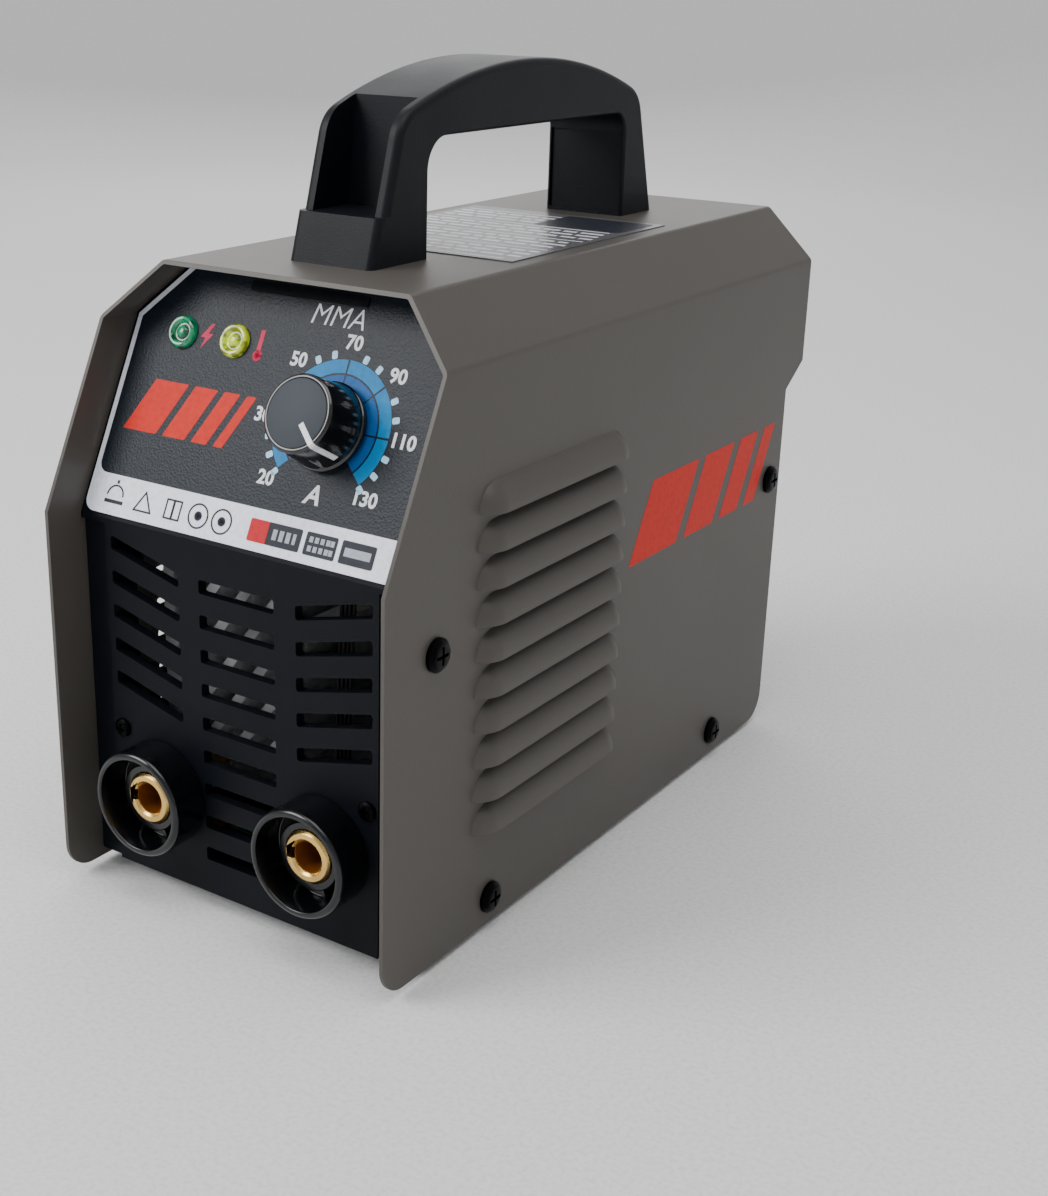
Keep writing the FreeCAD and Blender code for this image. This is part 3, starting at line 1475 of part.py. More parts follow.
def control_lead():
    """Ribbon of thin wires from the control board down to the main board."""
    back = -panel_face - pot_depth - control_board_thick
    wires = []
    for k in range(thin_lead_count):
        x = thin_lead_x + thin_lead_pitch * k
        start = FASCIA.multVec(Vector(x, boss_spots[0][1] + 4, back))
        turn = FASCIA.multVec(Vector(x, boss_spots[0][1] + 4, back - 5))
        drop = board_near + 2
        points = [(x, start.y - front, start.z - foot_lift), (x, turn.y - front, turn.z - foot_lift),
                  (x, drop, 0.5 * fascia_fold + 0.5 * board_top), (x, drop, board_top)]
        wires.append(lead(points, thin_lead_radius))
    return group(wires)


PARTS = {
    "cover_shell": cover_shell,
    "cover_screws": cover_screws,
    "handle": handle,
    "handle_screws": handle_screws,
    "rating_label": rating_label,
    "front_panel": front_panel,
    "front_panel_screws": panel_screws,
    "fascia_label": fascia_label,
    "knob": knob,
    "knob_pointer": knob_pointer,
    "pot_shaft": pot_shaft,
    "pot_body": pot_body,
    "pot_nut": pot_nut,
    "lamp_lens_green": lambda: lamp_lens(lamp_x[0]),
    "lamp_lens_yellow": lambda: lamp_lens(lamp_x[1]),
    "indicator_leds": indicator_leds,
    "control_board": control_board,
    "control_board_screws": control_board_screws,
    "socket_collar_left": lambda: socket_collar(-1),
    "socket_collar_right": lambda: socket_collar(1),
    "socket_insert_left": lambda: socket_insert(-1),
    "socket_insert_right": lambda: socket_insert(1),
    "socket_ring_nuts": socket_ring_nuts,
    "output_bar_left": lambda: output_bar(-1),
    "output_bar_right": lambda: output_bar(1),
    "socket_washers": socket_washers,
    "socket_tail_nuts": socket_tail_nuts,
    "base_tray": base_tray,
    "rubber_feet": rubber_feet,
    "board_standoffs": board_standoffs,
    "main_board": main_board,
    "board_screws": board_screws,
    "heatsink_front": heatsink_front,
    "heatsink_rear": heatsink_rear,
    "power_transistors": lambda: chips(front_sink, 2, 2),
    "output_diodes": lambda: chips(rear_sink, 2, 1),
    "bus_capacitors": bus_capacitors,
    "bridge_rectifier": bridge_rectifier,
    "soft_start_relay": soft_start_relay,
    "transformer_core": transformer_core,
    "transformer_winding": transformer_winding,
    "choke_core": choke_core,
    "choke_winding": choke_winding,
    "rear_panel": rear_panel,
    "fan_frame": fan_frame,
    "fan_rotor": fan_rotor,
    "fan_guard": fan_guard,
    "fan_screws": fan_screws,
    "switch_housing": switch_housing,
    "switch_rocker": switch_rocker,
    "gland_body": gland_body,
    "gland_cap": gland_cap,
    "gland_seal": gland_seal,
    "gland_locknut": gland_locknut,
    "switch_leads": switch_leads,
    "fan_lead": fan_lead,
    "control_lead": control_lead,
}

os.makedirs("parts", exist_ok=True)
for name, make in PARTS.items():
    shape = make()
    shape.exportStep("parts/" + name + ".step")
    print(name, len(shape.Solids), round(shape.Volume), shape.isValid())
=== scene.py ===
"""Looks of a compact stick welding inverter, built round its packed design frame."""

import logging
import math
from dataclasses import dataclass
from enum import Enum
from typing import Optional, Sequence, Union

import bmesh
import bpy
from mathutils import Matrix, Vector


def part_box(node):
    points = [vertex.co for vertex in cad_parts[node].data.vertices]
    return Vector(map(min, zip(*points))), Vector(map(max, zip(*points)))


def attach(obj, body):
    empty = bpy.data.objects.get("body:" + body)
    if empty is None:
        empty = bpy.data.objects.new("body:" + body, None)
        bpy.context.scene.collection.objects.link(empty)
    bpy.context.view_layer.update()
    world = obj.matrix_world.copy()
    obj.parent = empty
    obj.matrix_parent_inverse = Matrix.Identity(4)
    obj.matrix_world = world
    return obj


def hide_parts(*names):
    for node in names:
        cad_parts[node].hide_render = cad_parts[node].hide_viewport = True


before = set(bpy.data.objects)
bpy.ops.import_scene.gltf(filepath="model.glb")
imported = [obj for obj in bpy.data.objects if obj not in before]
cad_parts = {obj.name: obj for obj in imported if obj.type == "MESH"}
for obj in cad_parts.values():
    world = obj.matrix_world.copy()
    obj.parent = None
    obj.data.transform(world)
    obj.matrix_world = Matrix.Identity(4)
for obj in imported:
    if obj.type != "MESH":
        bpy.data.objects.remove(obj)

MM = 0.001
Colour = tuple[float, float, float]
Point = tuple[float, float]
LOG = logging.getLogger("inverter")
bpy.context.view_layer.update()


class Body(Enum):
    """Bodies that new pieces ride on."""

    MACHINE = "machine"
    KNOB = "current_knob"
    ROCKER = "rocker"


def linear(level: int) -> float:
    """Linear value of a display level from 0 to 255."""
    part = level / 255
    return part / 12.92 if part <= 0.04045 else ((part + 0.055) / 1.055) ** 2.4


def srgb(red: int, green: int, blue: int) -> Colour:
    """Linear colour of a display colour.

    Args:
        red: level from 0 to 255.
        green: level from 0 to 255.
        blue: level from 0 to 255.

    Returns:
        The colour.
    """
    return (linear(red), linear(green), linear(blue))


def scaled(colour: Colour, factor: float) -> Colour:
    """Colour made lighter or darker by a factor."""
    return tuple(min(1.0, part * factor) for part in colour)


# --- shader expressions ---------------------------------------------------------------------


class Channel:
    """One output socket of a shader node, with the arithmetic that patterns need."""

    def __init__(self, paint: "Paint", socket: bpy.types.NodeSocket) -> None:
        """Wraps a socket of a paint's node tree."""
        self.paint = paint
        self.socket = socket

    def _math(self, operation: str, first: "Operand", second: "Operand") -> "Channel":
        """Result of a Math node on two operands."""
        return self.paint.node("ShaderNodeMath", {"operation": operation}, {0: first, 1: second})

    def __add__(self, other: "Operand") -> "Channel":
        """self + other."""
        return self._math("ADD", self, other)

    def __radd__(self, other: "Operand") -> "Channel":
        """other + self."""
        return self._math("ADD", other, self)

    def __sub__(self, other: "Operand") -> "Channel":
        """self - other."""
        return self._math("SUBTRACT", self, other)

    def __rsub__(self, other: "Operand") -> "Channel":
        """other - self."""
        return self._math("SUBTRACT", other, self)

    def __mul__(self, other: "Operand") -> "Channel":
        """self * other."""
        return self._math("MULTIPLY", self, other)

    def __rmul__(self, other: "Operand") -> "Channel":
        """other * self."""
        return self._math("MULTIPLY", other, self)

    def ramp(self, low: float, high: float) -> "Channel":
        """Smooth step from 0 at low to 1 at high."""
        values = {0: self, 1: low, 2: high, 3: 0.0, 4: 1.0}
        return self.paint.node("ShaderNodeMapRange", {"interpolation_type": "SMOOTHSTEP"}, values)


Operand = Union[Channel, float, int]


class Paint:
    """A material under construction: one Principled shader and the nodes that feed it."""

    def __init__(self, name: str) -> None:
        """Starts a material of a name, with Object coordinates ready."""
        self.material = bpy.data.materials.new(name)
        self.material.use_nodes = True
        self.tree = self.material.node_tree
        self.shader = next(n for n in self.tree.nodes if n.type == "BSDF_PRINCIPLED")
        self.place = self.node("ShaderNodeTexCoord", {}, {}, "Object")

    def node(self, kind: str, settings: dict, values: dict, output: Union[str, int] = 0) -> Channel:
        """Adds a node of any type.

        Args:
            kind: the node's type name.
            settings: attributes that are set before the sockets.
            values: numbers, colours or channels for the input sockets, by index or name.
            output: the socket that the result reads.

        Returns:
            The chosen output.
        """
        made = self.tree.nodes.new(kind)
        for key, value in settings.items():
            setattr(made, key, value)
        for key, value in values.items():
            if isinstance(value, Channel):
                self.tree.links.new(value.socket, made.inputs[key])
            else:
                made.inputs[key].default_value = value
        return Channel(self, made.outputs[output])

    def stretched(self, scale: Sequence[float]) -> Channel:
        """Object coordinates scaled along each axis, for a pattern with a direction."""
        return self.node("ShaderNodeMapping", {}, {"Vector": self.place, "Scale": tuple(scale)})

    def noise(self, scale: float, detail: float = 2.0, vector: Optional[Channel] = None) -> Channel:
        """Noise from 0 to 1 with features of about 1 / scale metres."""
        values = {"Vector": vector or self.place, "Scale": scale, "Detail": detail}
        return self.node("ShaderNodeTexNoise", {}, values, "Fac")

    def cells(self, scale: float) -> Channel:
        """Distance to the nearest of scattered points, about 1 / scale metres apart."""
        return self.node("ShaderNodeTexVoronoi", {}, {"Vector": self.place, "Scale": scale}, "Distance")

    def across(self, axis: str) -> Channel:
        """Object coordinate along X, Y or Z, in metres."""
        return self.node("ShaderNodeSeparateXYZ", {}, {"Vector": self.place}, axis)

    def mixed(self, factor: Operand, first: Colour, second: Colour) -> Channel:
        """Colour that runs from one to another.

        Args:
            factor: 0 gives the first colour, and 1 the second.
            first: linear colour.
            second: linear colour.

        Returns:
            The mixed colour.
        """
        values = {0: factor, 6: (*first, 1.0), 7: (*second, 1.0)}
        return self.node("ShaderNodeMix", {"data_type": "RGBA"}, values, 2)

    def bump(self, height: Channel, depth: float) -> None:
        """Feeds the shader's normal from a height pattern that is depth metres from 0 to 1."""
        self.vary("Normal", self.node("ShaderNodeBump", {}, {"Distance": depth, "Height": height}))

    def vary(self, socket: str, channel: Channel) -> None:
        """Links a channel to one of the shader's sockets."""
        self.tree.links.new(channel.socket, self.shader.inputs[socket])

    def keep(self, **values: object) -> None:
        """Sets constant sockets of the shader.

        Args:
            values: the values, each under its socket's name with underscores for spaces.
        """
        for key, value in values.items():
            self.shader.inputs[key.replace("_", " ")].default_value = value


# --- finishes -------------------------------------------------------------------------------


class Finish:
    """Base of the finishes: starts a material and lets the finish feed it."""

    def material(self, name: str) -> bpy.types.Material:
        """Makes a material in this finish.

        Args:
            name: the material's name.

        Returns:
            The material.
        """
        paint = Paint(name)
        self.feed(paint)
        return paint.material

    def feed(self, paint: Paint) -> None:
        """Feeds the shader of a paint, which each finish does in its own way."""
        raise NotImplementedError


@dataclass(frozen=True)
class PowderCoat(Finish):
    """Oven-cured paint with a fine orange peel and a faint cloudy variation."""

    colour: Colour
    roughness: float = 0.45
    peel_scale: float = 1400.0
    peel_depth: float = 0.00004

    def feed(self, paint: Paint) -> None:
        """Mottles the colour and wrinkles the surface.

        Args:
            paint: the material to feed.
        """
        cloud = paint.noise(16.0, 3.0)
        fleck = paint.noise(2600.0, 1.0)
        tone = cloud * 0.6 + fleck * 0.4
        paint.vary("Base Color", paint.mixed(tone, scaled(self.colour, 0.92), scaled(self.colour, 1.1)))
        paint.vary("Roughness", cloud * 0.12 + (self.roughness - 0.06))
        paint.bump(paint.noise(self.peel_scale, 2.0), self.peel_depth)
        paint.keep(Specular_IOR_Level=0.4)


@dataclass(frozen=True)
class Moulded(Finish):
    """Moulded plastic or rubber with a spark-eroded grain."""

    colour: Colour
    roughness: float = 0.5
    grain_scale: float = 2400.0
    grain_depth: float = 0.00004
    specular: float = 0.4
    coat: float = 0.0

    def feed(self, paint: Paint) -> None:
        """Smears the colour and grains the surface.

        Args:
            paint: the material to feed.
        """
        grain = paint.noise(self.grain_scale, 2.0)
        smear = paint.noise(45.0, 4.0)
        paint.vary("Base Color", paint.mixed(smear, self.colour, scaled(self.colour, 1.3)))
        paint.vary("Roughness", smear * 0.14 + grain * 0.06 + (self.roughness - 0.1))
        paint.bump(grain, self.grain_depth)
        paint.keep(Specular_IOR_Level=self.specular, Coat_Weight=self.coat, Coat_Roughness=0.1)


@dataclass(frozen=True)
class BareMetal(Finish):
    """Turned, drawn or extruded metal with fine lines along one direction."""

    colour: Colour
    roughness: float = 0.3
    stretch: tuple[float, float, float] = (1.0, 0.03, 1.0)
    line_scale: float = 2500.0
    line_depth: float = 0.00001
    metallic: float = 1.0

    def feed(self, paint: Paint) -> None:
        """Draws the lines and tarnishes the metal in patches.

        Args:
            paint: the material to feed.
        """
        lines = paint.noise(self.line_scale, 2.0, paint.stretched(self.stretch))
        tarnish = paint.noise(90.0, 4.0)
        tone = tarnish.ramp(0.35, 0.8)
        paint.vary("Base Color", paint.mixed(tone, self.colour, scaled(self.colour, 0.72)))
        paint.vary("Roughness", lines * 0.15 + tarnish * 0.1 + (self.roughness - 0.1))
        paint.bump(lines, self.line_depth)
        paint.keep(Metallic=self.metallic)


@dataclass(frozen=True)
class ClearLens(Finish):
    """Tinted clear plastic with a swirl of lighter and darker bands, as over a lamp."""

    colour: Colour
    glow: float = 0.1

    def feed(self, paint: Paint) -> None:
        """Swirls the tint, which glows a little.

        Args:
            paint: the material to feed.
        """
        swirl = paint.noise(330.0, 1.0)
        tone = swirl.ramp(0.42, 0.58)
        paint.vary("Base Color", paint.mixed(tone, scaled(self.colour, 0.3), self.colour))
        paint.vary("Emission Color", paint.mixed(tone, scaled(self.colour, 0.2), self.colour))
        paint.vary("Roughness", swirl * 0.08 + 0.03)
        paint.keep(IOR=1.49, Emission_Strength=self.glow, Coat_Weight=0.6, Coat_Roughness=0.03)


@dataclass(frozen=True)
class PebbledFilm(Finish):
    """Polyester film with a pebbled face, printed from behind, with glints painted into its colour."""

    colour: Colour
    pebble: float = 900.0
    depth: float = 0.00015
    roughness: float = 0.38
    # how much lighter the base colour is at the painted glints
    fleck: float = 1.7
    specular: float = 0.25

    def feed(self, paint: Paint) -> None:
        """Lays the pebbles, and paints glints on them as spots of lighter base colour.

        Args:
            paint: the material to feed.
        """
        cells = paint.cells(self.pebble)
        glint = paint.noise(self.pebble * 1.6, 2.0)
        tone = glint.ramp(0.5, 0.72)
        # painted glints: the base colour is lighter where the glint noise is high
        paint.vary("Base Color", paint.mixed(tone, self.colour, scaled(self.colour, self.fleck)))
        paint.vary("Roughness", glint * 0.2 + (self.roughness - 0.1))
        paint.bump(cells, self.depth)
        paint.keep(Specular_IOR_Level=self.specular)


@dataclass(frozen=True)
class Ink(Finish):
    """Screen-printed ink, laid slightly unevenly, or plain paper."""

    colour: Colour
    roughness: float = 0.45
    specular: float = 0.2

    def feed(self, paint: Paint) -> None:
        """Thins the ink in patches.

        Args:
            paint: the material to feed.
        """
        patch = paint.noise(700.0, 3.0)
        tone = patch.ramp(0.35, 0.8)
        paint.vary("Base Color", paint.mixed(tone, self.colour, scaled(self.colour, 0.85)))
        paint.vary("Roughness", patch * 0.12 + (self.roughness - 0.06))
        paint.bump(patch, 0.00002)
        paint.keep(Specular_IOR_Level=self.specular)


@dataclass(frozen=True)
class SolderMask(Finish):
    """Green circuit board lacquer with darker and lighter tracks under it."""

    colour: Colour
    track_scale: float = 160.0

    def feed(self, paint: Paint) -> None:
        """Lays the tracks under the lacquer.

        Args:
            paint: the material to feed.
        """
        values = {"Vector": paint.place, "Scale": self.track_scale}
        tracks = paint.node("ShaderNodeTexBrick", {"offset": 0.5}, values, "Fac")
        cloud = paint.noise(60.0, 2.0)
        paint.vary("Base Color", paint.mixed(tracks, self.colour, scaled(self.colour, 1.9)))
        paint.vary("Roughness", cloud * 0.1 + 0.25)
        paint.bump(tracks, 0.00003)


@dataclass(frozen=True)
class Wound(Finish):
    """Enamelled wire or tape wound in close turns."""

    colour: Colour
    pitch: float = 0.0012
    axis: str = "Z"
    metallic: float = 0.6
    roughness: float = 0.32

    def feed(self, paint: Paint) -> None:
        """Rounds each turn, and paints shade into the gaps between turns by darkening the colour there.

        Args:
            paint: the material to feed.
        """
        halves = {0: paint.across(self.axis), 1: self.pitch / 2}
        turns = paint.node("ShaderNodeMath", {"operation": "PINGPONG"}, halves)
        rise = turns * (2 / self.pitch)
        # painted shade: the colour falls to 35 % in the gaps between turns
        paint.vary("Base Color", paint.mixed(rise, scaled(self.colour, 0.35), self.colour))
        paint.vary("Roughness", paint.noise(300.0, 2.0) * 0.12 + (self.roughness - 0.06))
        paint.bump(rise, self.pitch / 3)
        paint.keep(Metallic=self.metallic)


FINISHES: dict[str, Finish] = {
    "studio_paper": Ink((0.8, 0.8, 0.8), 0.8),
    "cover_paint": PowderCoat(srgb(76, 72, 68)),
    "tray_steel": BareMetal(srgb(190, 192, 194), 0.38, (1.0, 1.0, 0.05)),
    "black_screw": BareMetal(srgb(16, 16, 18), 0.4),
    "zinc_screw": BareMetal(srgb(200, 200, 196), 0.35),
    "handle_plastic": Moulded(srgb(6, 9, 16), 0.46, specular=0.22),
    "panel_plastic": Moulded(srgb(6, 9, 16), 0.52, specular=0.14),
    "label_film": Ink(srgb(240, 244, 255), 0.35),
    "dark_film": PebbledFilm(srgb(22, 28, 36), 1500.0, 0.00007, 0.42, 1.8),
    "rating_film": PebbledFilm(srgb(92, 92, 96), 1200.0, 0.00005, 0.32, 1.2),
    "knob_plastic": Moulded(srgb(8, 9, 12), 0.14, 300.0, 0.000002, 0.5, 0.4),
    "knob_cap": Moulded(srgb(58, 63, 68), 0.62, 2600.0, 0.00001, 0.25),
    "pointer_white": Ink(srgb(244, 246, 248), 0.4),
    "lens_green": ClearLens(srgb(10, 140, 92)),
    "lens_yellow": ClearLens(srgb(204, 224, 44)),
    "led_epoxy": Moulded(srgb(210, 214, 200), 0.2),
    "pot_metal": BareMetal(srgb(176, 176, 170), 0.35),
    "collar_plastic": Moulded(srgb(7, 8, 12), 0.2, 500.0, 0.000004, 0.4, 0.2),
    "brass": BareMetal(srgb(240, 200, 120), 0.26, (1.0, 0.03, 1.0), 1800.0),
    # darker, less metallic brass, painted as shade inside the socket bores
    "brass_bore_shade": BareMetal(srgb(160, 96, 22), 0.46, (1.0, 0.03, 1.0), 900.0, 0.00004, 0.55),
    "copper": BareMetal(srgb(214, 134, 96), 0.3),
    "foot_rubber": Moulded(srgb(26, 26, 27), 0.8, 1500.0, 0.00006, 0.2),
    "circuit_board": SolderMask(srgb(26, 92, 52)),
    "aluminium": BareMetal(srgb(246, 247, 250), 0.45, (1.0, 0.02, 1.0), metallic=0.4),
    "chip_epoxy": Moulded(srgb(30, 30, 33), 0.6),
    "capacitor_sleeve": Moulded(srgb(30, 34, 46), 0.22, 800.0, 0.00001),
    "relay_case": Moulded(srgb(40, 82, 150), 0.4),
    "ferrite": Moulded(srgb(62, 62, 66), 0.7, 1200.0, 0.00008),
    "winding_tape": Wound(srgb(212, 182, 82), 0.008, "Z", 0.0, 0.3),
    "choke_copper": Wound(srgb(190, 104, 60), 0.0016, "X"),
    "fan_plastic": Moulded(srgb(18, 19, 21), 0.42),
    "guard_chrome": BareMetal(srgb(222, 223, 228), 0.14, (1.0, 1.0, 1.0), 600.0, 0.000004),
    "switch_plastic": Moulded(srgb(16, 17, 19), 0.38),
    "rocker_plastic": Moulded(srgb(180, 24, 18), 0.24, 600.0, 0.000004, 0.5, 0.3),
    "gland_plastic": Moulded(srgb(22, 23, 26), 0.5),
    "lead_insulation": Moulded(srgb(22, 22, 24), 0.35),
    "ink_orange": Ink(srgb(206, 26, 0)),
    "ink_blue": Ink(srgb(0, 126, 186)),
    "ink_teal": Ink(srgb(0, 90, 160)),
    "ink_pale_blue": Ink(srgb(180, 222, 250)),
    "ink_white": Ink(srgb(236, 238, 244)),
    "ink_silver": Ink(srgb(170, 174, 184)),
    "ink_pink": Ink(srgb(200, 30, 76)),
    "ink_red": Ink(srgb(196, 20, 34)),
    "ink_dark": Ink(srgb(40, 43, 52)),
}


class Palette:
    """Materials by name, each built when it is first asked for."""

    def __init__(self, finishes: dict[str, Finish]) -> None:
        """Keeps the finishes to build from."""
        self.finishes = finishes
        self.made: dict[str, bpy.types.Material] = {}

    def __getitem__(self, name: str) -> bpy.types.Material:
        """Material of a name."""
        if name not in self.made:
            self.made[name] = self.finishes[name].material(name)
        return self.made[name]


# --- mesh helpers ---------------------------------------------------------------------------


def link_mesh(name: str, mesh: bmesh.types.BMesh) -> bpy.types.Object:
    """Turns a bmesh into an object at the origin, and frees the bmesh.

    Args:
        name: the object's name.
        mesh: its mesh.

    Returns:
        The object.
    """
    data = bpy.data.meshes.new(name)
    mesh.to_mesh(data)
    mesh.free()
    made = bpy.data.objects.new(name, data)
    bpy.context.scene.collection.objects.link(made)
    return made


def outward(mesh: bmesh.types.BMesh) -> None:
    """Merges doubles and points every face outwards."""
    bmesh.ops.remove_doubles(mesh, verts=mesh.verts, dist=1e-6)
    bmesh.ops.recalc_face_normals(mesh, faces=mesh.faces)


def break_edges(mesh: bmesh.types.BMesh, width: float, segments: int = 2, angle: float = 0.6) -> None:
    """Rounds the sharp edges.

    Args:
        mesh: the mesh to change.
        width: width of each round.
        segments: faces across it.
        angle: turn in radians from which an edge is sharp.
    """
    sharp = [e for e in mesh.edges if e.is_manifold and e.calc_face_angle() > angle]
    bmesh.ops.bevel(mesh, geom=sharp, affect="EDGES", offset=width, segments=segments,
                    profile=0.5, material=-1, clamp_overlap=True)


def turned(profile: Sequence[Point], steps: int = 64) -> bmesh.types.BMesh:
    """Part turned about the Z axis.

    Args:
        profile: corners of the half section as (radius, height), from one end of the axis
            or bore to the other; a section that starts off the axis is closed.
        steps: facets round the part.

    Returns:
        The closed mesh.
    """
    mesh = bmesh.new()
    corners = [mesh.verts.new((radius, 0.0, height)) for radius, height in profile]
    edges = [mesh.edges.new(pair) for pair in zip(corners, corners[1:])]
    if profile[0][0] > 0.0:
        edges.append(mesh.edges.new((corners[-1], corners[0])))
    bmesh.ops.spin(mesh, geom=corners + edges, cent=(0, 0, 0), axis=(0, 0, 1), dvec=(0, 0, 0),
                   angle=math.tau, steps=steps, use_merge=True)
    outward(mesh)
    return mesh


def plate(outline: Sequence[Point], thickness: float, rounded: Sequence[int] = (),
          radius: float = 0.0) -> bmesh.types.BMesh:
    """Flat plate that stands on the XY plane.

    Args:
        outline: its corners in order.
        thickness: its height.
        rounded: which corners are rounded.
        radius: their radius.

    Returns:
        The closed mesh.
    """
    mesh = bmesh.new()
    corners = [mesh.verts.new((x, y, 0.0)) for x, y in outline]
    mesh.faces.new(corners)
    if rounded:
        bmesh.ops.bevel(mesh, geom=[corners[i] for i in rounded], affect="VERTICES", offset=radius,
                        segments=6, profile=0.5, material=-1)
    thicken(mesh, thickness)
    return mesh


def thicken(mesh: bmesh.types.BMesh, thickness: float) -> None:
    """Gives flat faces on the XY plane a thickness upwards.

    Args:
        mesh: the faces, which become a closed mesh.
        thickness: how far it stands up.
    """
    top = bmesh.ops.extrude_face_region(mesh, geom=mesh.faces[:])
    raised = [item for item in top["geom"] if isinstance(item, bmesh.types.BMVert)]
    bmesh.ops.translate(mesh, verts=raised, vec=(0.0, 0.0, thickness))
    outward(mesh)


def sector(inner: float, outer: float, start: float, sweep: float, thickness: float,
           steps: int = 24) -> bmesh.types.BMesh:
    """Part of a flat ring round the Z axis.

    Args:
        inner: its inner radius.
        outer: its outer radius.
        start: where it starts, in degrees from +X.
        sweep: how far it goes round, in degrees.
        thickness: its height.
        steps: facets along it.

    Returns:
        The closed mesh.
    """
    mesh = bmesh.new()
    ends = [mesh.verts.new((r, 0.0, 0.0)) for r in (inner, outer)]
    edge = mesh.edges.new(ends)
    bmesh.ops.rotate(mesh, verts=ends, cent=(0, 0, 0), matrix=Matrix.Rotation(math.radians(start), 3, "Z"))
    bmesh.ops.spin(mesh, geom=ends + [edge], cent=(0, 0, 0), axis=(0, 0, 1), dvec=(0, 0, 0),
                   angle=math.radians(sweep), steps=steps)
    thicken(mesh, thickness)
    return mesh


def merged(parts: Sequence[bmesh.types.BMesh]) -> bmesh.types.BMesh:
    """One mesh out of several.

    Args:
        parts: the meshes, which are freed.

    Returns:
        The mesh.
    """
    whole = bmesh.new()
    for part in parts:
        data = bpy.data.meshes.new("part")
        part.to_mesh(data)
        part.free()
        whole.from_mesh(data)
        bpy.data.meshes.remove(data)
    return whole


def moved(mesh: bmesh.types.BMesh, x: float, y: float, z: float = 0.0,
          turn: float = 0.0) -> bmesh.types.BMesh:
    """Turns a mesh about the Z axis and then shifts it.

    Args:
        mesh: the mesh to change.
        x: shift along X.
        y: shift along Y.
        z: shift along Z.
        turn: turn in degrees.

    Returns:
        The same mesh.
    """
    mesh.transform(Matrix.Translation((x, y, z)) @ Matrix.Rotation(math.radians(turn), 4, "Z"))
    return mesh


def lettering(words: str, height: float, thickness: float, weight: float = 0.02,
              slant: float = 0.0) -> bmesh.types.BMesh:
    """Thin raised text, centred on the origin of the XY plane.

    Args:
        words: what it says.
        height: height of a capital letter.
        thickness: how far it stands up.
        weight: how much the strokes are thickened, as a share of the height.
        slant: how far it leans.

    Returns:
        The mesh.
    """
    capital = 0.70
    data = bpy.data.curves.new("lettering", "FONT")
    data.body = words
    data.size = height / capital
    data.offset = weight * height
    data.shear = slant
    data.align_x = "CENTER"
    data.align_y = "CENTER"
    data.resolution_u = 3
    data.extrude = thickness / 2
    text = bpy.data.objects.new("lettering", data)
    bpy.context.scene.collection.objects.link(text)
    shape = bpy.data.meshes.new_from_object(text)
    mesh = bmesh.new()
    mesh.from_mesh(shape)
    bpy.data.objects.remove(text)
    bpy.data.curves.remove(data)
    bpy.data.meshes.remove(shape)
    bmesh.ops.translate(mesh, verts=mesh.verts, vec=(0.0, 0.0, thickness / 2))
    outward(mesh)
    return mesh


@dataclass
class Workshop:
    """Turns meshes into finished pieces and dresses the design's nodes."""

    palette: Palette
    soft_angle: float = math.radians(35)

    def piece(self, name: str, mesh: bmesh.types.BMesh, finish: str, slot: str, body: Body = Body.MACHINE,
              nodes: Sequence[str] = ()) -> bpy.types.Object:
        """Makes a piece that rides on a body.

        Args:
            name: the piece's name.
            mesh: its mesh, in place in the design's frame.
            finish: the finish it wears.
            slot: name of the record's material slot; not used.
            body: the body that it rides on.
            nodes: design nodes that it stands for.

        Returns:
            The piece.
        """
        made = link_mesh(name, mesh)
        made.data.materials.append(self.palette[finish])
        made.data.shade_smooth()
        made.data.set_sharp_from_angle(angle=self.soft_angle)
        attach(made, body.value)
        if nodes:
            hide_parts(*nodes)
        LOG.info("made %s with %d faces", name, len(made.data.polygons))
        return made

    def softened(self, node: str, slot: str, width: float, body: Body = Body.MACHINE,
                 segments: int = 2) -> bpy.types.Object:
        """Makes a copy of a design node whose sharp edges are broken, and shows it instead.

        Args:
            node: the design node.
            slot: the record's material slot and finish.
            width: width of the broken edges.
            body: the body that the node is on.
            segments: faces across each broken edge.

        Returns:
            The piece.
        """
        mesh = bmesh.new()
        mesh.from_mesh(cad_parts[node].data)
        bmesh.ops.remove_doubles(mesh, verts=mesh.verts, dist=1e-6)
        bmesh.ops.dissolve_limit(mesh, angle_limit=math.radians(0.4), use_dissolve_boundaries=False,
                                 verts=mesh.verts, edges=mesh.edges)
        made = self.piece(node + "_finished", mesh, slot, slot, body, [node])
        bevel = made.modifiers.new("broken_edges", "BEVEL")
        bevel.limit_method = "ANGLE"
        bevel.angle_limit = self.soft_angle
        bevel.width = width
        bevel.segments = segments
        weighted = made.modifiers.new("even_shading", "WEIGHTED_NORMAL")
        weighted.keep_sharp = True
        return made

    def dress(self, slots: dict[str, tuple[str, ...]]) -> None:
        """Gives design nodes their finishes.

        Args:
            slots: nodes under each finish.
        """
        for slot, nodes in slots.items():
            for node in nodes:
                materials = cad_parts[node].data.materials
                materials.clear()
                materials.append(self.palette[slot])
                LOG.info("dressed %s", node)


# --- studio ---------------------------------------------------------------------------------


@dataclass(frozen=True)
class SoftBox:
    """Square lamp: its name, size in metres, power in watts and place."""

    name: str
    size: float
    power: float
    spot: tuple[float, float, float]


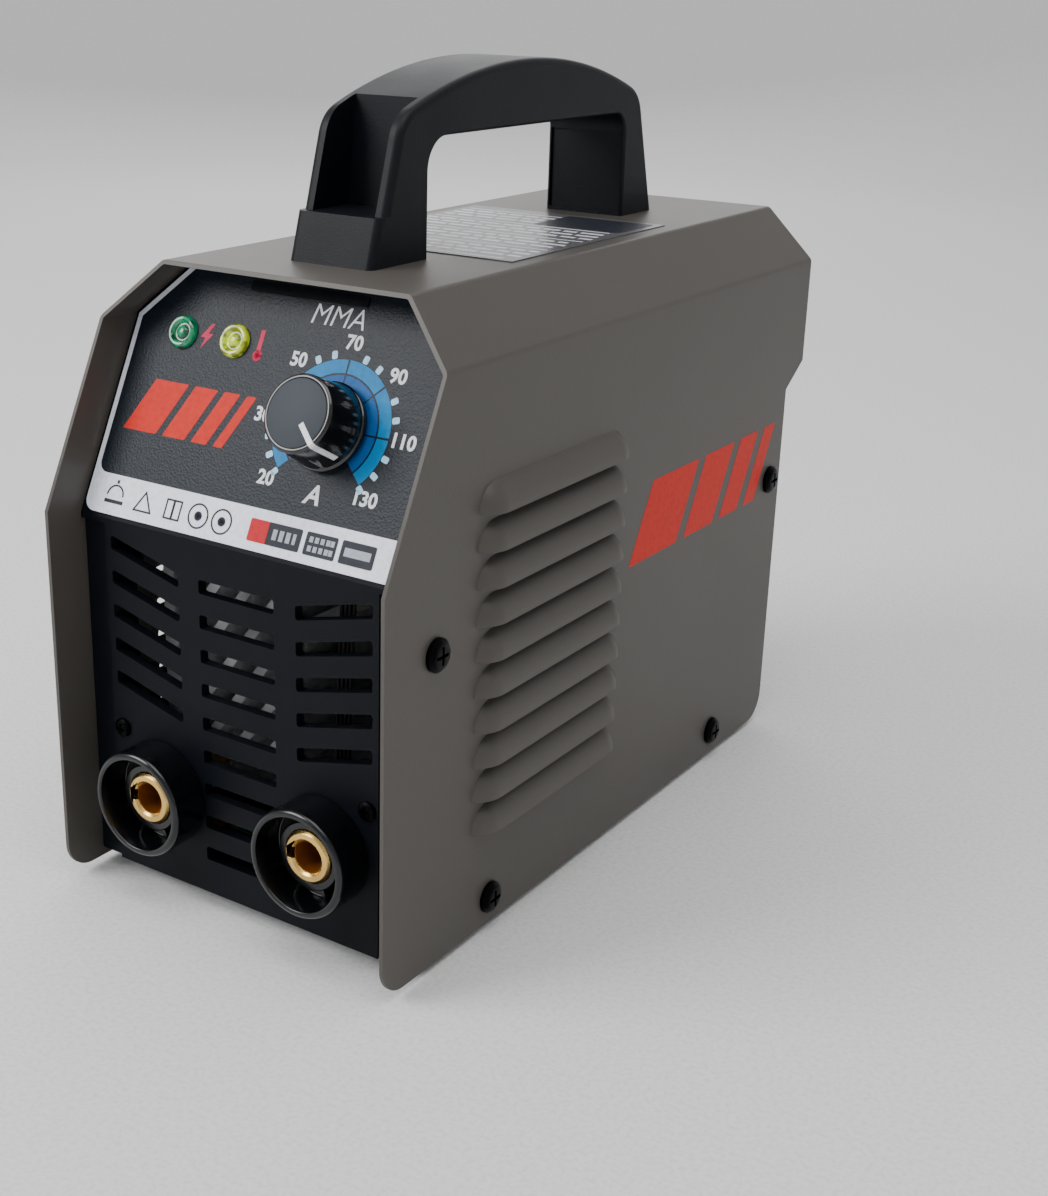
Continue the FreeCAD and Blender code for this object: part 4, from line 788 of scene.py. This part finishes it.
@dataclass
class Studio:
    """Pale paper bowl, soft lights and the camera."""

    eye: tuple[float, float, float] = (0.2839, -0.4299, 0.2561)
    azimuth: float = math.radians(34.92)
    elevation: float = math.radians(20.09)
    roll: float = math.radians(0.77)
    lens: float = 52.1
    shift: tuple[float, float] = (0.0870, -0.0067)
    centre: tuple[float, float, float] = (0.0, 0.0, 0.1)
    flat_radius: float = 1.7
    sweep_radius: float = 0.9
    wall_top: float = 2.4
    room_light: float = 0.6
    lamps: tuple[SoftBox, ...] = (SoftBox("overhead", 1.2, 13.0, (0.3, -0.3, 1.6)),
                                  SoftBox("front_key", 0.8, 18.0, (-0.8, -1.0, 1.0)),
                                  SoftBox("rear_card", 1.3, 8.0, (-0.95, 1.25, 0.95)))

    def build(self, palette: Palette) -> None:
        """Makes everything in the studio.

        Args:
            palette: the materials to take from.
        """
        self.paper(palette["studio_paper"])
        self.room()
        for box in self.lamps:
            self.lamp(box)
        self.camera()

    def paper(self, material: bpy.types.Material) -> None:
        """Makes a round floor that sweeps up into a wall, so that no edge of it shows.

        Args:
            material: what it is made of.
        """
        bend = Vector((self.flat_radius, 0.0, self.sweep_radius))
        turns = [math.radians(step * 7.5) for step in range(13)]
        arc = [bend + self.sweep_radius * Vector((math.sin(a), 0.0, -math.cos(a))) for a in turns]
        rim = Vector((self.flat_radius + self.sweep_radius, 0.0, self.wall_top))
        mesh = bmesh.new()
        spots = [mesh.verts.new(spot) for spot in [Vector((0.0, 0.0, 0.0)), *arc, rim]]
        edges = [mesh.edges.new(pair) for pair in zip(spots, spots[1:])]
        bmesh.ops.spin(mesh, geom=spots + edges, cent=(0, 0, 0), axis=(0, 0, 1), dvec=(0, 0, 0),
                       angle=math.tau, steps=96, use_merge=True)
        bmesh.ops.remove_doubles(mesh, verts=mesh.verts, dist=1e-5)
        bmesh.ops.recalc_face_normals(mesh, faces=mesh.faces)
        if min(mesh.faces, key=lambda face: face.calc_center_median().length).normal.z < 0.0:
            bmesh.ops.reverse_faces(mesh, faces=mesh.faces)
        paper = link_mesh("paper", mesh)
        paper.data.materials.append(material)
        paper.data.shade_smooth()

    def room(self) -> None:
        """Even light from all round."""
        world = bpy.data.worlds.new("room")
        world.use_nodes = True
        background = world.node_tree.nodes["Background"]
        background.inputs["Color"].default_value = (1.0, 1.0, 1.0, 1.0)
        background.inputs["Strength"].default_value = self.room_light
        bpy.context.scene.world = world

    def lamp(self, box: SoftBox) -> None:
        """Adds a lamp that faces the machine.

        Args:
            box: the lamp.
        """
        data = bpy.data.lights.new(box.name, "AREA")
        data.size = box.size
        data.energy = box.power
        lamp = bpy.data.objects.new(box.name, data)
        lamp.location = box.spot
        lamp.rotation_euler = (Vector(self.centre) - Vector(box.spot)).to_track_quat("-Z", "Y").to_euler()
        bpy.context.scene.collection.objects.link(lamp)

    def camera(self) -> None:
        """Camera at the eye of a person who bends to look at the front corner."""
        data = bpy.data.cameras.new("camera")
        data.lens = self.lens
        data.shift_x, data.shift_y = self.shift
        data.clip_start = 0.01
        camera = bpy.data.objects.new("camera", data)
        level = math.cos(self.elevation)
        toward = Vector((-math.sin(self.azimuth) * level, math.cos(self.azimuth) * level,
                         -math.sin(self.elevation)))
        aim = toward.to_track_quat("-Z", "Y").to_matrix() @ Matrix.Rotation(self.roll, 3, "Z")
        camera.matrix_world = Matrix.Translation(self.eye) @ aim.to_4x4()
        bpy.context.scene.collection.objects.link(camera)
        bpy.context.scene.camera = camera


# --- sub-assemblies -------------------------------------------------------------------------


def in_mm(points: Sequence[Point]) -> list[Point]:
    """Points given in millimetres, in metres."""
    return [(first * MM, second * MM) for first, second in points]


@dataclass(frozen=True)
class Stripes:
    """A plain mark of slanted stripes."""

    widths: tuple[float, ...]
    gap: float
    height: float
    slant: float
    corner: float = 0.4 * MM

    def build(self, thickness: float) -> bmesh.types.BMesh:
        """Makes the stripes, which start at the origin and follow +X on the XY plane.

        Args:
            thickness: how far they stand up.

        Returns:
            The mesh.
        """
        parts = []
        start = 0.0
        for width in self.widths:
            top = start + self.slant
            outline = [(start, 0.0), (start + width, 0.0), (top + width, self.height), (top, self.height)]
            parts.append(plate(outline, thickness, range(4), self.corner))
            start += width + self.gap
        return merged(parts)


@dataclass
class Housing:
    """Painted cover, tray, feet, screws and the marks on the cover."""

    workshop: Workshop
    sheet_break: float = 0.25 * MM
    screw_break: float = 0.15 * MM
    foot_break: float = 0.4 * MM
    stripes: Stripes = Stripes((30 * MM, 20 * MM, 13 * MM, 8 * MM), 5 * MM, 24 * MM, 13 * MM)
    mark_thickness: float = 0.05 * MM
    mark_start: float = 122 * MM
    mark_height: float = 87 * MM
    panel_gap: float = 1.5 * MM

    def build(self) -> None:
        """Makes every piece of the housing."""
        self.workshop.softened("cover_shell", "cover_paint", self.sheet_break)
        self.workshop.softened("base_tray", "tray_steel", self.sheet_break)
        self.workshop.softened("cover_screws", "black_screw", self.screw_break)
        self.workshop.softened("rubber_feet", "foot_rubber", self.foot_break)
        self.side_marks()

    def side_marks(self) -> None:
        """Stripes on both side walls, behind the louvres."""
        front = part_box("cover_shell")[0].y
        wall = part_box("rear_panel")[1].x + self.panel_gap
        upright = Matrix(((0, 0, 1, 0), (1, 0, 0, 0), (0, 1, 0, 0), (0, 0, 0, 1)))
        place = Matrix.Translation((wall, front + self.mark_start, self.mark_height))
        sides = []
        for side in (1, -1):
            mark = self.stripes.build(self.mark_thickness)
            mark.transform(Matrix.Diagonal((side, 1, 1, 1)) @ place @ upright)
            outward(mark)
            sides.append(mark)
        self.workshop.piece("side_marks", merged(sides), "ink_orange", "cover_paint")


@dataclass
class CarryHandle:
    """Moulded handle on the roof and the rating label under it."""

    workshop: Workshop
    edge: float = 0.7 * MM
    ink: float = 0.03 * MM
    margin: float = 2.5 * MM
    rows: int = 17
    rule_every: int = 4
    shortest_dash: float = 3.0 * MM
    longer_by: float = 4.5 * MM
    dash_gap: float = 1.4 * MM
    dark_block: Point = (30 * MM, 22 * MM)
    block_corner: float = 1.0 * MM

    def build(self) -> None:
        """Makes the handle and the print on the label."""
        self.workshop.softened("handle", "handle_plastic", self.edge, segments=3)
        low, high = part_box("rating_label")
        self.pale_print(low, high)
        self.dark_print(high)

    def pale_print(self, low: Vector, high: Vector) -> None:
        """Rows of dashes with thin rules between some of them, and no words.

        Args:
            low: lowest corner of the label.
            high: highest corner of the label.
        """
        span = high.x - low.x - 2 * self.margin
        pitch = (high.y - low.y - 2 * self.margin) / self.rows
        dashes = []
        for row in range(self.rows):
            is_rule = row % self.rule_every == 0
            tall = pitch * (0.16 if is_rule else 0.36)
            across = 0.0
            while across < span - self.shortest_dash:
                wave = abs(math.sin(1.7 * row + 90.0 * across / span))
                width = min(self.shortest_dash + self.longer_by * wave, span - across)
                dash = plate([(0, 0), (width, 0), (width, tall), (0, tall)], self.ink)
                corner = (low.x + self.margin + across, low.y + self.margin + pitch * row, high.z)
                dashes.append(moved(dash, *corner))
                across += width + (0.0 if is_rule else self.dash_gap)
        self.workshop.piece("rating_print_pale", merged(dashes), "ink_white", "rating_film")

    def dark_print(self, high: Vector) -> None:
        """Dark block in the label's rear corner.

        Args:
            high: highest corner of the label.
        """
        wide, deep = self.dark_block
        outline = [(0, 0), (wide, 0), (wide, deep), (0, deep)]
        dark = plate(outline, 2 * self.ink, range(4), self.block_corner)
        moved(dark, high.x - self.margin - wide, high.y - self.margin - deep, high.z)
        self.workshop.piece("rating_print_dark", dark, "ink_dark", "rating_film")


@dataclass
class FrontPanel:
    """Slotted lower front and its screws."""

    workshop: Workshop
    edge: float = 0.2 * MM
    screw_break: float = 0.12 * MM

    def build(self) -> None:
        """Makes the panel's pieces."""
        self.workshop.softened("front_panel", "panel_plastic", self.edge)
        self.workshop.softened("front_panel_screws", "black_screw", self.screw_break)


@dataclass
class FasciaPlane:
    """Leaning front face, with places given as (across, up) on the film's face."""

    lean: float = math.radians(26.4)
    film_low: float = 1.2 * MM
    film_high: float = 74.02 * MM
    film_thickness: float = 0.4 * MM

    def matrix(self, lift: float = 0.0) -> Matrix:
        """Takes (across, up, out) to the design's frame.

        Args:
            lift: distance from the film's face that counts as out = 0.

        Returns:
            The matrix.
        """
        low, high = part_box("fascia_label")
        up = Vector((0.0, math.sin(self.lean), math.cos(self.lean)))
        out = Vector((0.0, -math.cos(self.lean), math.sin(self.lean)))
        fold = Vector((0.0, high.y - self.film_high * up.y, low.z - self.film_low * up.z))
        origin = fold + out * (self.film_thickness + lift)
        axes = Matrix((Vector((1.0, 0.0, 0.0)), up, out)).transposed().to_4x4()
        return Matrix.Translation(origin) @ axes

    def behind_film(self, spot: Point) -> Matrix:
        """Takes a part's own axes to a spot on the panel's face, which the film lies on."""
        return self.matrix(-self.film_thickness) @ Matrix.Translation((*spot, 0.0))


@dataclass
class Fascia:
    """Printed film on the leaning face: dark field, scale round the knob and marks."""

    workshop: Workshop
    plane: FasciaPlane
    ink: float = 0.04 * MM
    near: float = 0.05 * MM
    strip_top: float = 12.4 * MM
    border: float = 1.6 * MM
    field_corner: float = 3 * MM
    # black bar that paints the shade under the cover's edge
    bar_low: Point = (-18.0, 68.6)
    bar_high: Point = (21.0, 71.4)
    bar_thickness: float = 0.5 * MM
    bar_corner: float = 0.6 * MM
    knob: Point = (19.8 * MM, 36.4 * MM)
    band_outer: Point = (14.6 * MM, 18.2 * MM)
    band_inner: Point = (11.0 * MM, 14.1 * MM)
    band_gap: float = 2.0
    first_angle: int = -45
    last_angle: int = 225
    tick_step: int = 15
    tick_radius: float = 18.4 * MM
    number_radius: float = 22.6 * MM
    number_height: float = 3.7 * MM
    lamps: tuple[Point, ...] = ((-37.0 * MM, 54.4 * MM), (-18.5 * MM, 54.4 * MM))
    bolt: tuple[Point, ...] = ((0.7, 3.6), (-2.0, -0.4), (-0.3, -0.4), (-1.1, -3.6), (2.1, 0.8),
                               (0.4, 0.8), (1.9, 3.6))
    line: float = 0.5 * MM
    icon_height: float = 6.6 * MM
    block_spans: tuple[Point, ...] = ((9.0, 20.2), (21.6, 31.6), (33.0, 43.6))
    block_rise: Point = (3.6, 9.6)
    stripes: Stripes = Stripes((12 * MM, 8 * MM, 5.4 * MM, 3.2 * MM), 2.4 * MM, 15 * MM, 7 * MM)
    stripes_corner: Point = (-49 * MM, 25.5 * MM)

    def build(self) -> None:
        """Makes every print on the film."""
        self.dark_field()
        self.top_bar()
        self.scale()
        self.numbers()
        self.symbols()
        self.strip_icons()
        self.strip_blocks()
        self.mark()

    def stick(self, name: str, mesh: bmesh.types.BMesh, finish: str, layer: int = 1) -> None:
        """Lays a print on the film as a piece.

        Args:
            name: the piece's name.
            mesh: the print, made on the XY plane.
            finish: its ink.
            layer: how many layers of ink are under it.
        """
        mesh.transform(self.plane.matrix(self.ink * layer))
        self.workshop.piece(name, mesh, finish, "label_film")

    def bar(self, left: float, right: float, low: float, high: float,
            corner: float = 0.0) -> bmesh.types.BMesh:
        """Printed upright rectangle.

        Args:
            left: its left side, in millimetres, as are the others.
            right: its right side.
            low: its lower side.
            high: its upper side.
            corner: radius of its corners.

        Returns:
            The mesh.
        """
        outline = in_mm([(left, low), (right, low), (right, high), (left, high)])
        return plate(outline, self.ink, range(4) if corner else (), corner * MM)

    def ring(self, inner: float, outer: float, steps: int) -> bmesh.types.BMesh:
        """Printed ring, or disc if inner is 0, round the origin."""
        return sector(inner, outer, 0, 360, self.ink, steps)

    def dark_field(self) -> None:
        """Dark pebbled field above the pale strip, with a pale border left at its sides."""
        to_film = self.plane.matrix().inverted()
        spots = [to_film @ vertex.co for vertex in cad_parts["fascia_label"].data.vertices]
        half = max(spot.x for spot in spots)
        top = max(spot.y for spot in spots)
        shoulder = max(spot.y for spot in spots if spot.x > half - self.near)
        ridge = max(spot.x for spot in spots if spot.y > top - self.near)
        run, rise = ridge - half, top - shoulder
        inward = self.border * Vector((-rise, run)) / math.hypot(run, rise)
        side = half - self.border
        side_top = shoulder + inward.y - (self.border + inward.x) / run * rise
        ridge_in = half + inward.x + (rise - inward.y) / rise * run
        outline = [(-side, self.strip_top), (side, self.strip_top), (side, side_top), (ridge_in, top),
                   (-ridge_in, top), (-side, side_top)]
        shape = plate(outline, self.ink, (0, 1), self.field_corner)
        self.stick("fascia_field", shape, "dark_film", 0)

    def top_bar(self) -> None:
        """Black bar on the film that paints the shade under the cover's edge."""
        (left, low), (right, high) = self.bar_low, self.bar_high
        outline = in_mm([(left, low), (right, low), (right, high), (left, high)])
        shape = plate(outline, self.bar_thickness, range(4), self.bar_corner)
        self.stick("fascia_top_bar", shape, "panel_plastic")

    def scale(self) -> None:
        """Two rings of bands with dark gaps, and ticks outside them."""
        bands = (("scale_outer", self.band_outer, "ink_blue"), ("scale_inner", self.band_inner, "ink_teal"))
        for name, (inner, outer), finish in bands:
            parts = []
            for start, end in ((self.first_angle, 0), (0, 45), (45, 90), (90, self.last_angle)):
                sweep = end - start - self.band_gap
                parts.append(sector(inner, outer, start + self.band_gap / 2, sweep, self.ink))
            self.stick(name, moved(merged(parts), *self.knob), finish)
        ticks = []
        for angle in range(self.first_angle, self.last_angle + 1, self.tick_step):
            if angle in (0, 45, 90, 135, 180):
                continue
            tick = moved(self.bar(0.0, 2.2, -0.85, 0.85, 0.5), self.tick_radius, 0.0)
            ticks.append(moved(tick, 0, 0, 0, angle))
        self.stick("scale_ticks", moved(merged(ticks), *self.knob), "ink_pale_blue")

    def numbers(self) -> None:
        """Amperes round the scale, the unit and the process."""
        x, y = self.knob
        words = []
        for value, angle in ((20, 225), (30, 180), (50, 135), (70, 90), (90, 45), (110, 0), (130, -45)):
            text = lettering(str(value), self.number_height, self.ink, 0.045)
            turn = math.radians(angle)
            across = x + self.number_radius * math.cos(turn)
            words.append(moved(text, across, y + self.number_radius * math.sin(turn)))
        self.stick("scale_numbers", merged(words), "ink_white")
        unit = moved(lettering("A", 5.0 * MM, self.ink, 0.035, 0.25), x, 18.6 * MM)
        process = moved(lettering("MMA", 5.6 * MM, self.ink, -0.012, 0.2), 12.5 * MM, 64.9 * MM)
        self.stick("unit_and_process", merged([unit, process]), "ink_white")

    def symbols(self) -> None:
        """Bolt beside the first lamp and thermometer beside the second."""
        (power_x, power_y), (heat_x, heat_y) = self.lamps
        flash = moved(plate(in_mm(self.bolt), self.ink), power_x + 8.2 * MM, power_y)
        stem = moved(self.bar(-0.7, 0.7, 0.0, 6.0), heat_x + 8.4 * MM, heat_y - 1.8 * MM)
        bulb = moved(self.ring(0.0, 1.5 * MM, 20), heat_x + 8.4 * MM, heat_y - 2.8 * MM)
        self.stick("lamp_symbols", merged([flash, stem, bulb]), "ink_pink")

    def strip_icons(self) -> None:
        """Plain icons on the pale strip, none of them a word or a warning."""
        height = self.icon_height
        shade = sector(2.6 * MM, 2.6 * MM + self.line, 0, 180, self.ink)
        lamp_shade = merged([shade, self.bar(-3.4, 3.4, -2.2, -1.2), self.bar(-0.4, 0.4, 3.4, 4.4)])
        icons = [moved(lamp_shade, -45.0 * MM, height)]
        icons.append(moved(self.frame_icon(3, 4.0 * MM), -34.2 * MM, height - 0.7 * MM))
        for part in (-1, 1):
            page = self.frame_box(3.0 * MM, 5.6 * MM)
            icons.append(moved(page, (-23.6 + part * 1.35) * MM, height))
        for x in (-14.6 * MM, -6.4 * MM):
            icons.append(moved(self.ring(3.0 * MM, 3.0 * MM + self.line, 40), x, height))
            icons.append(moved(self.ring(0.0, 1.3 * MM, 20), x, height))
        self.stick("strip_icons", merged(icons), "ink_dark")

    def strip_blocks(self) -> None:
        """Dark blocks on the pale strip, with a red square and pale bars on them."""
        blocks = [self.bar(left, right, *self.block_rise, 0.5) for left, right in self.block_spans]
        self.stick("strip_blocks", merged(blocks), "ink_dark")
        self.stick("strip_square", self.bar(3.1, 9.3, *self.block_rise, 0.5), "ink_red", 2)
        lines = [self.bar(left, right, 5.2, 8.0)
                 for left, right in ((11.0, 12.4), (13.2, 14.6), (15.4, 16.8), (17.6, 18.6))]
        for low in (4.6, 7.0):
            lines += [self.bar(left, left + 1.2, low, low + 1.5) for left in (22.8, 24.6, 26.4, 28.2, 29.6)]
        lines.append(self.bar(34.2, 42.4, 5.6, 7.8))
        self.stick("strip_lines", merged(lines), "ink_silver", 2)

    def frame_icon(self, sides: int, radius: float) -> bmesh.types.BMesh:
        """Outline of a regular polygon.

        Args:
            sides: how many sides it has.
            radius: distance from its middle to a corner.

        Returns:
            The mesh.
        """
        mesh = bmesh.new()
        bmesh.ops.create_circle(mesh, cap_ends=True, segments=sides, radius=radius)
        return self.hollow(mesh)

    def frame_box(self, width: float, height: float) -> bmesh.types.BMesh:
        """Outline of an upright rectangle.

        Args:
            width: its size across.
            height: its size upwards.

        Returns:
            The mesh.
        """
        mesh = bmesh.new()
        bmesh.ops.create_grid(mesh, x_segments=1, y_segments=1, size=0.5)
        bmesh.ops.scale(mesh, verts=mesh.verts, vec=(width, height, 1.0))
        return self.hollow(mesh)

    def hollow(self, mesh: bmesh.types.BMesh) -> bmesh.types.BMesh:
        """Keeps a line round a face and gives it the ink's thickness.

        Args:
            mesh: the face, on the XY plane.

        Returns:
            The same mesh.
        """
        core = mesh.faces[:]
        bmesh.ops.inset_region(mesh, faces=core, thickness=self.line, use_boundary=True,
                               use_even_offset=True)
        bmesh.ops.delete(mesh, geom=core, context="FACES_ONLY")
        thicken(mesh, self.ink)
        return mesh

    def mark(self) -> None:
        """Slanted stripes at the left of the field."""
        self.stick("fascia_mark", moved(self.stripes.build(self.ink), *self.stripes_corner), "ink_orange")


@dataclass
class Lamps:
    """Two clear lenses with a ring and a dome, in place of the design's plain ones."""

    workshop: Workshop
    plane: FasciaPlane
    profile: tuple[Point, ...] = ((0.0, 2.0), (0.9, 1.9), (1.7, 1.5), (2.1, 0.9), (2.5, 0.9), (2.9, 1.6),
                                  (3.4, 2.1), (3.9, 2.15), (4.3, 1.9), (4.65, 1.2), (4.68, 0.4),
                                  (4.68, -2.9), (0.0, -2.9))

    def build(self) -> None:
        """Makes both lenses."""
        for spot, tint in zip(Fascia.lamps, ("green", "yellow")):
            name = "lens_" + tint
            lens = turned(in_mm(self.profile), 48)
            lens.transform(self.plane.behind_film(spot))
            self.workshop.piece(name, lens, name, name, nodes=["lamp_" + name])


@dataclass
class CurrentKnob:
    """Knob with a glossy skirted body, a matt cap and a white pointer."""

    workshop: Workshop
    plane: FasciaPlane
    steps: int = 96
    body_profile: tuple[Point, ...] = ((3.1, 1.3), (11.5, 1.3), (11.85, 1.7), (11.85, 3.0), (11.35, 3.35),
                                       (11.1, 4.0), (10.35, 15.2), (9.8, 15.75), (9.0, 15.75), (9.0, 15.3),
                                       (3.1, 15.3))
    cap_profile: tuple[Point, ...] = ((0.0, 15.2), (8.95, 15.2), (8.95, 15.8), (8.6, 16.0), (0.0, 16.0))
    pointer_profile: tuple[Point, ...] = ((3.4, 15.6), (3.4, 16.12), (9.9, 16.12), (10.55, 15.45),
                                          (11.25, 5.6), (10.6, 5.6), (9.8, 15.3), (9.6, 15.6))
    pointer_angle: float = -45.0
    pointer_width: float = 1.5 * MM

    def build(self) -> None:
        """Makes the knob's pieces, which turn together."""
        place = self.plane.behind_film(Fascia.knob)
        body = turned(in_mm(self.body_profile), self.steps)
        break_edges(body, 0.25 * MM, 2, 0.35)
        body.transform(place)
        self.workshop.piece("knob_body", body, "knob_plastic", "knob_plastic", Body.KNOB, ["knob"])
        cap = turned(in_mm(self.cap_profile), self.steps)
        cap.transform(place)
        self.workshop.piece("knob_cap", cap, "knob_cap", "knob_plastic", Body.KNOB)
        pointer = self.pointer()
        pointer.transform(place)
        self.workshop.piece("knob_pointer_inlay", pointer, "pointer_white", "pointer_white", Body.KNOB,
                            ["knob_pointer"])

    def pointer(self) -> bmesh.types.BMesh:
        """White line across the cap and down the side.

        Returns:
            The mesh, round the knob's own axis.
        """
        mesh = bmesh.new()
        mesh.faces.new([mesh.verts.new((r, 0.0, z)) for r, z in in_mm(self.pointer_profile)])
        far = bmesh.ops.extrude_face_region(mesh, geom=mesh.faces[:])
        raised = [item for item in far["geom"] if isinstance(item, bmesh.types.BMVert)]
        bmesh.ops.translate(mesh, verts=raised, vec=(0.0, self.pointer_width, 0.0))
        bmesh.ops.translate(mesh, verts=mesh.verts, vec=(0.0, -self.pointer_width / 2, 0.0))
        outward(mesh)
        return moved(mesh, 0.0, 0.0, 0.0, self.pointer_angle)


@dataclass
class OutputSockets:
    """Two sockets: glossy collars with brass inserts, small ribs in the cavity and painted shade in the
    bores.
    """

    workshop: Workshop
    collar_break: float = 0.45 * MM
    insert_break: float = 0.35 * MM
    bore: float = 4.6 * MM
    recess: float = 5.0 * MM
    bore_depth: float = 16.6 * MM
    lining_start: float = 1.0 * MM
    lining_gap: float = 0.01 * MM
    skin: float = 0.12 * MM
    floor: float = 10.0 * MM
    rib_size: tuple[float, float, float] = (3.9 * MM, 1.1 * MM, 3.2 * MM)
    rib_radius: float = 11.6 * MM
    rib_middle: float = 1.5 * MM
    rib_break: float = 0.25 * MM
    rib_angles: tuple[float, ...] = (-150.0, -112.0, -68.0, -30.0, 60.0, 120.0)

    def build(self) -> None:
        """Makes both sockets."""
        for side in ("left", "right"):
            self.workshop.softened("socket_collar_" + side, "collar_plastic", self.collar_break, segments=3)
            self.workshop.softened("socket_insert_" + side, "brass", self.insert_break, segments=3)
            low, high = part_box("socket_collar_" + side)
            axis = Matrix.Translation(((low.x + high.x) / 2, low.y, (low.z + high.z) / 2))
            place = axis @ Matrix.Rotation(math.radians(90), 4, "X")
            # painted shade inside the brass bore
            self.lining(side, place)
            self.ribs(side, place)

    def lining(self, side: str, place: Matrix) -> None:
        """Painted shade in the brass bore: a skin of darker, less metallic brass just inside the design's
        bore.

        Args:
            side: which socket.
            place: takes the socket's axis, +Z outwards from its mouth, to the design's frame.
        """
        inner = self.bore - self.skin
        outer = self.bore - self.lining_gap
        mouth = -self.recess - self.lining_start
        end = -self.recess - self.bore_depth
        wall = turned([(inner, mouth), (outer, mouth), (outer, end), (inner, end)], 48)
        wall.transform(place)
        self.workshop.piece("socket_bore_shade_" + side, wall, "brass_bore_shade", "brass")

    def ribs(self, side: str, place: Matrix) -> None:
        """Low ribs on the floor of the cavity between the insert and the collar.

        Args:
            side: which socket.
            place: takes the socket's axis, +Z outwards from its mouth, to the design's frame.
        """
        ribs = []
        for angle in self.rib_angles:
            rib = bmesh.new()
            bmesh.ops.create_cube(rib, size=1.0)
            bmesh.ops.scale(rib, verts=rib.verts, vec=self.rib_size)
            middle = (self.rib_radius, 0.0, self.rib_middle - self.floor)
            bmesh.ops.translate(rib, verts=rib.verts, vec=middle)
            break_edges(rib, self.rib_break)
            ribs.append(moved(rib, 0.0, 0.0, 0.0, angle))
        whole = merged(ribs)
        whole.transform(place)
        self.workshop.piece("socket_ribs_" + side, whole, "collar_plastic", "collar_plastic")


@dataclass
class RearEnd:
    """Rear panel, fan frame, switch and cable gland."""

    workshop: Workshop
    panel_edge: float = 0.2 * MM
    gland_edge: float = 0.3 * MM
    moulded_edge: float = 0.4 * MM
    rocker_edge: float = 0.5 * MM

    def build(self) -> None:
        """Makes the rear pieces."""
        self.workshop.softened("rear_panel", "panel_plastic", self.panel_edge)
        self.workshop.softened("fan_frame", "fan_plastic", self.moulded_edge)
        self.workshop.softened("gland_cap", "gland_plastic", self.moulded_edge)
        self.workshop.softened("gland_body", "gland_plastic", self.gland_edge)
        self.workshop.softened("switch_housing", "switch_plastic", self.moulded_edge)
        self.workshop.softened("switch_rocker", "rocker_plastic", self.rocker_edge, Body.ROCKER)


DRESSED: dict[str, tuple[str, ...]] = {
    "tray_steel": ("board_standoffs",),
    "black_screw": ("handle_screws", "fan_screws"),
    "zinc_screw": ("board_screws", "control_board_screws"),
    "rating_film": ("rating_label",),
    "label_film": ("fascia_label",),
    "led_epoxy": ("indicator_leds",),
    "pot_metal": ("pot_shaft", "pot_body", "pot_nut"),
    "brass": ("socket_tail_nuts", "socket_washers"),
    "collar_plastic": ("socket_ring_nuts",),
    "copper": ("output_bar_left", "output_bar_right"),
    "circuit_board": ("control_board", "main_board"),
    "aluminium": ("heatsink_front", "heatsink_rear"),
    "chip_epoxy": ("power_transistors", "output_diodes", "bridge_rectifier"),
    "capacitor_sleeve": ("bus_capacitors",),
    "relay_case": ("soft_start_relay",),
    "ferrite": ("transformer_core", "choke_core"),
    "winding_tape": ("transformer_winding",),
    "choke_copper": ("choke_winding",),
    "fan_plastic": ("fan_rotor",),
    "guard_chrome": ("fan_guard",),
    "gland_plastic": ("gland_locknut",),
    "foot_rubber": ("gland_seal",),
    "lead_insulation": ("switch_leads", "fan_lead", "control_lead"),
}


def main() -> None:
    """Builds the studio and every sub-assembly in order."""
    logging.basicConfig(level=logging.INFO, format="%(name)s: %(message)s")
    palette = Palette(FINISHES)
    workshop = Workshop(palette)
    plane = FasciaPlane()
    Studio().build(palette)
    workshop.dress(DRESSED)
    for assembly in (Housing(workshop), CarryHandle(workshop), FrontPanel(workshop), Fascia(workshop, plane),
                     Lamps(workshop, plane), CurrentKnob(workshop, plane), OutputSockets(workshop),
                     RearEnd(workshop)):
        assembly.build()


if __name__ == "__main__":
    main()
